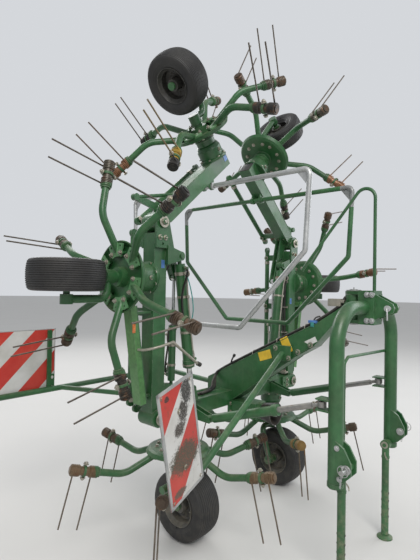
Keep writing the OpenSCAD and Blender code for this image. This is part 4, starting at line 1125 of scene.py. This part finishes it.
class TEDDER_OT_hydraulics(bpy.types.Operator):
    """Adds the ports, pipes, clamps and hoses of the fold cylinders"""
    bl_idname = "tedder.hydraulics"
    bl_label = "Hydraulics"

    def execute(self, context):
        look = context.scene.tedder_look
        hose = look.hose / MM / 2
        for side, end in SIDES:
            way = Vector(FOLD_EYE) - Vector(FOLD_BASE)
            at = row_matrix(side) @ aim(FOLD_BASE, way)
            self.cylinder("fold_barrel_" + end, at, FOLD_BARREL_R, FOLD_ROD_R, FOLD_BARREL, 4.2, hose)
            way = Vector(OUTER_EYE) - Vector(OUTER_BASE)
            at = stage_matrix(1, side) @ aim(OUTER_BASE, way)
            thin = hose * 0.85
            self.cylinder("outer_barrel_" + end, at, OUTER_BARREL_R, OUTER_ROD_R, OUTER_BARREL, 3.2, thin)
            self.wing_hoses(side, end, thin)
        self.boom_hoses(hose)
        return {"FINISHED"}

    def cylinder(self, body, at, r, rod_r, length, lip, hose):
        """Ports, pipe, clips and wiper of one cylinder, which runs along Z from its base eye."""
        bm = bmesh.new()
        low, high = 78, length - 62
        for z in (low, high):
            slab(bm, (r - 6, -12, z - 13), (r + 14, 12, z + 13), bevel=2, segments=2, index=0)
            disc_bar(bm, 9, 16, aim((r + 13, 0, z), (1, 0, 0)), segments=20, index=1)
            bolt(bm, (r + 28, 0, z), (1, 0, 0), across=19, head=7, washer=False, index=1)
        # Steel pipe from the port at the rod's end back along the barrel
        tube(bm, [(r + 22, 0, high - 8), (r + 22, 0, high - 46), (r + 9, 6, high - 70), (r + 9, 6, low + 90),
                  (r + 20, 8, low + 52), (r + 30, 14, low + 24)], 5, segments=10, index=1)
        for z in (length * 0.36, length * 0.68):
            band(bm, r + 0.2, 16, 2, Matrix.Translation((0, 0, z)), index=1)
            slab(bm, (r, -9, z - 8), (r + 17, 15, z + 8), bevel=1.5, segments=1, index=1)
        lathe(bm, [(rod_r + 0.6, 0.4), (r - 3, 0.4), (r - 5, 5), (rod_r + 5, 7), (rod_r + 0.6, 9)],
              Matrix.Translation((0, 0, length)), steps=36, index=2)
        band(bm, r + lip, 10, 1.6, Matrix.Translation((0, 0, length - 16)), index=1)
        # Short hose from the lower port, tied back to the barrel
        tube(bm, [(r + 24, 0, low), (r + 34, 0, low + 10), (r + 26, -8, low + 60), (r + 4, -22, low + 120),
                  (r * 0.62, -r * 0.9, low + 190), (r * 0.6, -r * 0.92, low + 300)], hose * 0.85, segments=10,
             index=3)
        settle(bm, body + "_pipes", [FINISH["green"], FINISH["bolt"], FINISH["black"], FINISH["hose"]], body,
               at)

    def wing_hoses(self, side, end, hose):
        """Hoses along the inner beam, from a clip beside the hinge to the beam's end, and the latch rod."""
        bm = bmesh.new()
        top = HALF_W + hose
        for k, y in enumerate((-22, -2)):
            tube(bm, [(84, y - 10, HALF_W + 22), (130, y, top + 3), (330, y + 4 * k, top + 1),
                      (620, y + 8, top + 5), (900, y + 2, top + 1), (930, y - 8, HALF_W + 40)], hose,
                 segments=10, index=0)
        for u in (190, 420, 640, 860):
            slab(bm, (u - 9, -40, HALF_W - 0.5), (u + 9, 24, HALF_W + 2.5), bevel=0.8, segments=1, index=1)
            over = top + hose + 4
            tube(bm, [(u, -38, HALF_W + 2), (u, -36, over), (u, 18, over), (u, 22, HALF_W + 2)],
                 CLIP_WIRE_R, segments=6, index=1)
        slab(bm, (70, -52, HALF_W - 1), (84, 24, HALF_W + 40), bevel=1.5, segments=1, index=1)
        for y in (-32, -12):
            disc_bar(bm, hose + 3.5, 34, aim((62, y, HALF_W + 24), (1, 0, 0)), segments=16, index=1)
        # Latch rod with its black grip beside the channel
        tube(bm, [(430, -36, -150), (430, -84, -140), (452, -150, -80), (472, -152, 30)], 8, segments=12,
             index=1)
        tube(bm, [(472, -152, 20), (310, -152, 250)], 9, segments=12, index=1, rounds=0)
        disc_bar(bm, 14, 30, aim((318, -152, 240), (-0.46, 0, 1)), segments=20, index=0)
        settle(bm, "wing_hoses_" + end, [FINISH["hose"], FINISH["bolt"]], "inner_wing_" + end,
               stage_matrix(1, side))

    def boom_hoses(self, hose):
        """Hoses down the boom's upper edge, from the valve block by the swivel to the centre beam."""
        bm = bmesh.new()
        edge = [(-850, 1476), (-716, 1388), (-608, 1336), (-420, 1238), (-220, 1134), (-40, 1040)]
        top = BEAM_Z + HALF_W + hose
        for k, x in enumerate((-44, -26, -8)):
            run = [(x * 0.6, -905, 1560), (x, -880, 1512)]
            run += [(x, y, z + hose + 1.5 * (k % 2)) for y, z in edge]
            run += [(x - 6, 40, 1000 + 6 * k), (x - 26 - 10 * k, 96, 962), (-96 - 14 * k, 76, 910),
                    (-150 - 20 * k, 30, top + 2), (-330 - 30 * k, 6 + 12 * k, top + 1)]
            tube(bm, run, hose, segments=10, index=0)
        for y, z in ((-640, 1352), (-430, 1243), (-230, 1139)):
            over = z + 2 * hose + 5
            tube(bm, [(-52, y, z - 4), (-50, y, over), (-2, y, over), (0, y, z - 4)], CLIP_WIRE_R,
                 segments=6, index=1)
        # Valve block with its fittings, on the boom beside the swivel
        slab(bm, (-56, -885, 1500), (4, -800, 1546), bevel=3, segments=2, index=1)
        for k in range(3):
            disc_bar(bm, hose + 3, 22, aim((-44 + 18 * k, -884, 1530), (0, -1, 0)), segments=16, index=1)
        # Cut-off handle on the boom's edge
        tube(bm, [(-48, -34, 1034), (-50, -40, 1066), (-52, -62, 1100)], 6, segments=10, index=2)
        lathe(bm, [(0, -12), (9, -10), (11, 0), (9, 10), (0, 12)], aim((-52, -66, 1106), (0, -0.5, 1)),
              steps=20, closed=False, index=2)
        settle(bm, "boom_hoses", [FINISH["hose"], FINISH["bolt"], FINISH["black"]], "frame",
               row_matrix())


class TEDDER_OT_linkage(bpy.types.Operator):
    """Adds the top link's pin, the linch pins, chains, nuts and grips of the headstock"""
    bl_idname = "tedder.linkage"
    bl_label = "Linkage Fittings"

    def execute(self, context):
        bm = bmesh.new()
        y, z = TOP_PIN
        # Top link pin with its handle, resting in its two bores
        disc_bar(bm, TOP_PIN_R, 124, aim((-66, -y, z), (1, 0, 0)), segments=28)
        lathe(bm, [(0, 0), (17, 0), (18, 2), (18, 7), (0, 8)], aim((-66, -y, z), (-1, 0, 0)), steps=28,
              closed=False)
        tube(bm, [(-70, -y, z), (-84, -y, z), (-90, -y - 6, z - 24), (-88, -y - 6, z - 66)], 5, segments=10)
        self.linch_pin(bm, Vector((50, -y, z)), TOP_PIN_R)
        plate_bolts = ((-1050, 1424), (-1078, 1424), (-1050, 1576), (-1078, 1576))
        link_y, link_z = LINK_PIN
        for s in (1, -1):
            for k, (bolt_y, bolt_z) in enumerate(plate_bolts):
                bolt(bm, (s * 62, bolt_y, bolt_z), (s, 0, 0), across=22, head=9, stud=5, turn=0.4 * k)
            disc_bar(bm, 24, 9, aim((s * (LEG_X + 38.2), -link_y, link_z), (s, 0, 0)), segments=32)
            self.linch_pin(bm, Vector((s * (LEG_X + 86), -link_y, link_z)), 14)
            bolt(bm, (s * (LEG_X - 38), -link_y, link_z), (-s, 0, 0), across=30, head=12)
            # Chain of small links that keeps the linch pin
            last = Vector((s * (LEG_X + 86), -link_y + 4, link_z - 20))
            for k in range(7):
                wide = (1, 0, 0) if k % 2 else (0, 1, 0)
                self.link(bm, last + Vector((-s * 4.5 * k, 3 * k, -11 * k)), wide)
            for dy, dz in ((-24, 96), (-40, -58)):
                bolt(bm, (s * (LEG_X + 38), -LEG_Y + dy, link_z + dz), (s, 0, 0))
            # Collar and plug where a leg ends
            band(bm, 40.3, 22, 2.5, Matrix.Translation((s * LEG_X, -LEG_Y, 584)), steps=40, index=1)
            disc_bar(bm, 38, 3, Matrix.Translation((s * LEG_X, -LEG_Y, 567.5)), segments=36, index=2)
            bolt(bm, (s * (LEG_X - 48), -LEG_Y, 600), (-s, 0, 0), head=1, washer=False)
        # Washers, grease nipple and locking bolt of the swivel pin
        for way in (1, -1):
            lathe(bm, [(25.2, 0), (44, 0), (45, 1.5), (45, 6), (25.2, 7)],
                  aim((0, SWIVEL_Y, SWIVEL_Z + way * 96.2), (0, 0, way)), steps=40)
        disc_bar(bm, 4, 13, aim((0, SWIVEL_Y, SWIVEL_Z + 106), (0, 0, 1)), segments=10)
        bolt(bm, (34, SWIVEL_Y - 23, SWIVEL_Z + 96), (0, 0, 1), across=13, head=6)
        settle(bm, "headstock_fittings", [FINISH["zinc"], FINISH["green"], FINISH["black"]], "headstock",
               row_matrix())
        # Holes drawn as black discs of painted shade, and the collar, grip and washer of the parking stands
        for s, end in SIDES:
            bm = bmesh.new()
            for z in (140, 190, 240, 290):
                for way in (-1, 1):
                    hole = aim((STAND_X, -LEG_Y + way * 22, z), (0, way, 0))
                    # Thin black disc where a hole is: painted shade, not an opening
                    disc_bar(bm, 8, 1.2, hole, segments=16, index=1)
            band(bm, 22.7, 12, 3, Matrix.Translation((STAND_X, -LEG_Y, 520)), index=0)
            tube(bm, [(300, -LEG_Y - 6, 556), (288, -LEG_Y - 10, 548), (284, -LEG_Y - 20, 530),
                      (292, -LEG_Y - 26, 516)], 4, segments=8, index=2)
            lathe(bm, [(12.4, 0), (22, 0), (22, 4), (12.4, 5)],
                  aim((STAND_X - 18.5, -LEG_Y, 600), (-1, 0, 0)), steps=28, index=2)
            settle(bm, "stand_fittings_" + end, [FINISH["green"], FINISH["black"], FINISH["bolt"]],
                   "stand_" + end, row_matrix(s))
        return {"FINISHED"}

    def linch_pin(self, bm, place, r):
        """Pin through a shaft's end with its spring ring."""
        disc_bar(bm, 4.2, 2 * r + 26, aim(place + Vector((0, 0, -r - 10)), (0, 0, 1)), segments=12)
        top = place + Vector((0, 0, r + 12))
        lathe(bm, [(0, 0), (9, 0), (10, 2), (10, 8), (0, 9)], aim(top, (0, 0, 1)), steps=18, closed=False)
        ring = []
        for k in range(23):
            a = math.pi * k / 12
            ring.append(place + Vector((3 + 6 * math.sin(k * 0.14), (r + 14) * math.sin(a),
                                        (r + 14) * math.cos(a) + 4)))
        tube(bm, ring, 2.2, segments=6, rounds=0)

    def link(self, bm, place, wide):
        """One oval chain link standing in a plane."""
        way = Vector(wide)
        points = []
        for k in range(13):
            a = 2 * math.pi * k / 12
            points.append(place + way * (4.0 * math.cos(a)) + Vector((0, 0, 8.0 * math.sin(a))))
        tube(bm, points, 1.5, segments=5, rounds=0)


class TEDDER_OT_frame_trim(bpy.types.Operator):
    """Adds weld beads, bolts, end caps, ribs and splines to the frame and the beams"""
    bl_idname = "tedder.frame_trim"
    bl_label = "Welds and Bolts"

    def execute(self, context):
        self.gearbox()
        self.boom(context.scene.tedder_look.boom_bolt / MM)
        for side, end in SIDES:
            for place in range(3):
                self.beam(place, side, end)
        return {"FINISHED"}

    def gearbox(self):
        """Bolts, plug, ribs and splines of the main gearbox."""
        bm = bmesh.new()
        for x in (-80, -28, 28, 80):
            for z in (700, 762):
                bolt(bm, (x, -HALF_W - 14, z), (0, -1, 0), across=19, head=9, index=1)
        for k in range(8):
            a = math.pi * (k + 0.5) / 4
            bolt(bm, (49 * math.cos(a), -296, INPUT_Z + 49 * math.sin(a)), (0, -1, 0), across=13, head=6,
                 washer=False, index=1)
        disc_bar(bm, 14, 10, aim((0, -190, 786), (0, 0, 1)), segments=24, index=1)
        bolt(bm, (0, -190, 796), (0, 0, 1), across=17, head=8, washer=False, index=1)
        for s in (-1, 1):
            for y in (-120, -170, -220):
                slab(bm, (s * 60 - 3, y - 4, 688), (s * 66 + 3, y + 4, 782), bevel=1.5, segments=1, index=0)
        # Splines of the input shaft
        for k in range(6):
            turned = aim((0, -398, INPUT_Z), (0, 1, 0)) @ Matrix.Rotation(k * math.pi / 3, 4, "Z")
            slab(bm, (14, -4, 0), (18.6, 4, 62), turned, bevel=0.8, segments=1, index=2)
        settle(bm, "main_gearbox_fittings", [FINISH["green"], FINISH["bolt"], FINISH["steel"]], "frame",
               row_matrix())

    def boom(self, across):
        """Welds and bolts of the boom."""
        bm = bmesh.new()
        for s in (-1, 1):
            for route in (((176, 918), (-608, 1327), (-716, 1379)), ((-571, 1153), (6, 738)),
                          ((-52, BEAM_Z + HALF_W), (52, BEAM_Z + HALF_W))):
                weld(bm, [(s * BOOM_HALF, y, z) for y, z in route])
            for y, z in ((-690, 1246), (-600, 1192)):
                bolt(bm, (s * (BOOM_HALF + 7), y, z), (s, 0, 0), across=across, head=10, stud=5, index=1)
        # Flat end of the board tube with its bolts
        slab(bm, (-82, -556, 1124), (-74, -424, 1226), bevel=2, segments=1, index=0)
        for y, z in ((-540, 1146), (-440, 1204)):
            bolt(bm, (-82, y, z), (-1, 0, 0), across=22, head=9, stud=6, index=1)
        settle(bm, "boom_fittings", [FINISH["green"], FINISH["bolt"]], "frame", row_matrix())

    def beam(self, place, side, end):
        """Welds, joints and end cap of one beam with its gear case."""
        bm = bmesh.new()
        u = ROTOR_U[place]
        ends = ((0, HINGE_X - 90), (74, OUTER_HINGE_U - 74), (74, u + 90))[place]
        # Weld beads along the beam's lower edges and round the gear case's flange
        for y in (-HALF_W, HALF_W):
            weld(bm, [(ends[0] + 4, y, -HALF_W + 1), (ends[1] - 4, y, -HALF_W + 1)], 2.6)
        lathe(bm, [(97, -HALF_W - 3.2), (101, -HALF_W - 1), (101.5, -HALF_W + 0.5), (97, -HALF_W + 0.5)],
              Matrix.Translation((u, 0, 0)), steps=48, index=0)
        # Steering rod's ball joints and lock nuts
        for joint in ((670,), (110, 640, 1080), (110, u - 20))[place]:
            bolt(bm, (joint, 215, 19), (0, 0, 1), across=24, head=10, stud=8, index=1)
            band(bm, 19.2, 26, 5, aim((joint - 44, 215, 0), (1, 0, 0)), steps=6, index=1)
        if place:
            for y in (-26, 26):
                disc_bar(bm, 4, 10, aim((ends[0] + 30, y, HALF_W - 1), (0, 0, 1)), segments=10, index=1)
        if place == 2:
            inset = HALF_W - 5
            slab(bm, (u + 88, -inset, -inset), (u + 94, inset, inset), bevel=2, index=2)
        name = "beam_" + ROW_NAME[place] + "_" + end
        settle(bm, name + "_trim", [FINISH["green"], FINISH["bolt"], FINISH["black"]], body_at(place, side),
               stage_matrix(place, side))


class TEDDER_OT_signs(bpy.types.Operator):
    """Adds the blank patches, the reflector, the blue clip, and the latch rings with their rope"""
    bl_idname = "tedder.signs"
    bl_label = "Blank Patches"

    def execute(self, context):
        bm = bmesh.new()
        slope = math.radians(-27.5)
        for y, z, w, h, tilt, index in ((-340, 1140, 104, 60, slope + 0.14, 0),
                                        (-510, 1228, 62, 106, slope, 0),
                                        (-690, 1268, 84, 34, slope, 1)):
            at = Matrix.Translation((-BOOM_HALF - 0.6, y, z)) @ Matrix.Rotation(tilt, 4, "X")
            slab(bm, (-0.8, -w / 2, -h / 2), (0.6, w / 2, h / 2), at, bevel=0.3, segments=1, index=index)
        # Blue clip and its lever on the boom's upper edge
        slab(bm, (-64, -730, 1386), (-34, -670, 1404), bevel=3, segments=2, index=2)
        slab(bm, (-66, -712, 1362), (-59, -688, 1392), bevel=2, segments=2, index=4)
        tube(bm, [(-48, -700, 1398), (-48, -716, 1424), (-50, -748, 1432)], 5, segments=10, index=3)
        materials = [FINISH[label] for label in ("yellow", "white", "blue", "black", "teal")]
        settle(bm, "boom_patches", materials, "frame", row_matrix())
        for side, end in SIDES:
            bm = bmesh.new()
            patch_u = 693 if side > 0 else 942
            slab(bm, (patch_u - 25, -51.4, 8), (patch_u + 25, -49.4, 35), bevel=0.4, segments=1, index=0)
            if side < 0:
                slab(bm, (530, -42, -196), (594, -36.4, -176), bevel=1.5, index=1)
            settle(bm, "wing_patches_" + end, [FINISH["blue"], FINISH["orange"]], "inner_wing_" + end,
                   stage_matrix(1, side))
            self.latch(side, end)
        bm = bmesh.new()
        slab(bm, (790, -51.6, -26), (828, -49.4, 12), bevel=0.4, segments=1, index=0)
        settle(bm, "outer_patch_right", [FINISH["blue"]], "outer_wing_right", stage_matrix(2, -1))
        return {"FINISHED"}

    def latch(self, side, end):
        """Latch ring on the fold cylinder; the right one has a rope, tied back to the barrel."""
        at = row_matrix(side) @ aim(FOLD_BASE, Vector(FOLD_EYE) - Vector(FOLD_BASE))
        bm = bmesh.new()
        band(bm, FOLD_BARREL_R + 0.3, 22, 3, Matrix.Translation((0, 0, 112)))
        slab(bm, (34, -6, 104), (44, 6, 120), bevel=1.5, segments=1)
        turns = [2 * math.pi * k / 24 for k in range(25)]
        ring = [(60 + 20 * math.cos(a), 0, 112 + 20 * math.sin(a)) for a in turns]
        tube(bm, ring, 3.4, segments=8, rounds=0)
        settle(bm, "latch_ring_" + end, FINISH["bolt"], "fold_barrel_" + end, at)
        if side > 0:
            return
        points = [(60, 0, 135), (66, 6, 170), (72, 12, 230), (74, 16, 290), (70, 18, 350), (56, 18, 400),
                  (41, 10, 436)]
        route = smooth_route(points)
        bm = bmesh.new()
        tube(bm, route, ROPE_D / 2, segments=8, rounds=0)
        rope = settle(bm, "latch_rope", FINISH["teal"], "fold_barrel_" + end, at)


class VIEW3D_PT_tedder(bpy.types.Panel):
    bl_label = "Hay Tedder"
    bl_idname = "VIEW3D_PT_tedder"
    bl_space_type = "VIEW_3D"
    bl_region_type = "UI"
    bl_category = "Tedder"

    def draw(self, context):
        for name in TedderLook.__annotations__:
            self.layout.prop(context.scene.tedder_look, name)
        for step in STEPS:
            self.layout.operator(step.bl_idname)


STEPS = (TEDDER_OT_stage, TEDDER_OT_finishes, TEDDER_OT_wheels, TEDDER_OT_rotors, TEDDER_OT_gear_cases,
         TEDDER_OT_hinges, TEDDER_OT_hydraulics, TEDDER_OT_linkage, TEDDER_OT_frame_trim, TEDDER_OT_boards,
         TEDDER_OT_signs)
CLASSES = (TedderLook, *STEPS, VIEW3D_PT_tedder)


def register():
    for item in CLASSES:
        bpy.utils.register_class(item)
    bpy.types.Scene.tedder_look = bpy.props.PointerProperty(type=TedderLook)


def unregister():
    del bpy.types.Scene.tedder_look
    for item in reversed(CLASSES):
        bpy.utils.unregister_class(item)


def main():
    register()
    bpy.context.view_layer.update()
    for step in STEPS:
        part, verb = step.bl_idname.split(".")
        getattr(getattr(bpy.ops, part), verb)()


if __name__ == "__main__":
    main()
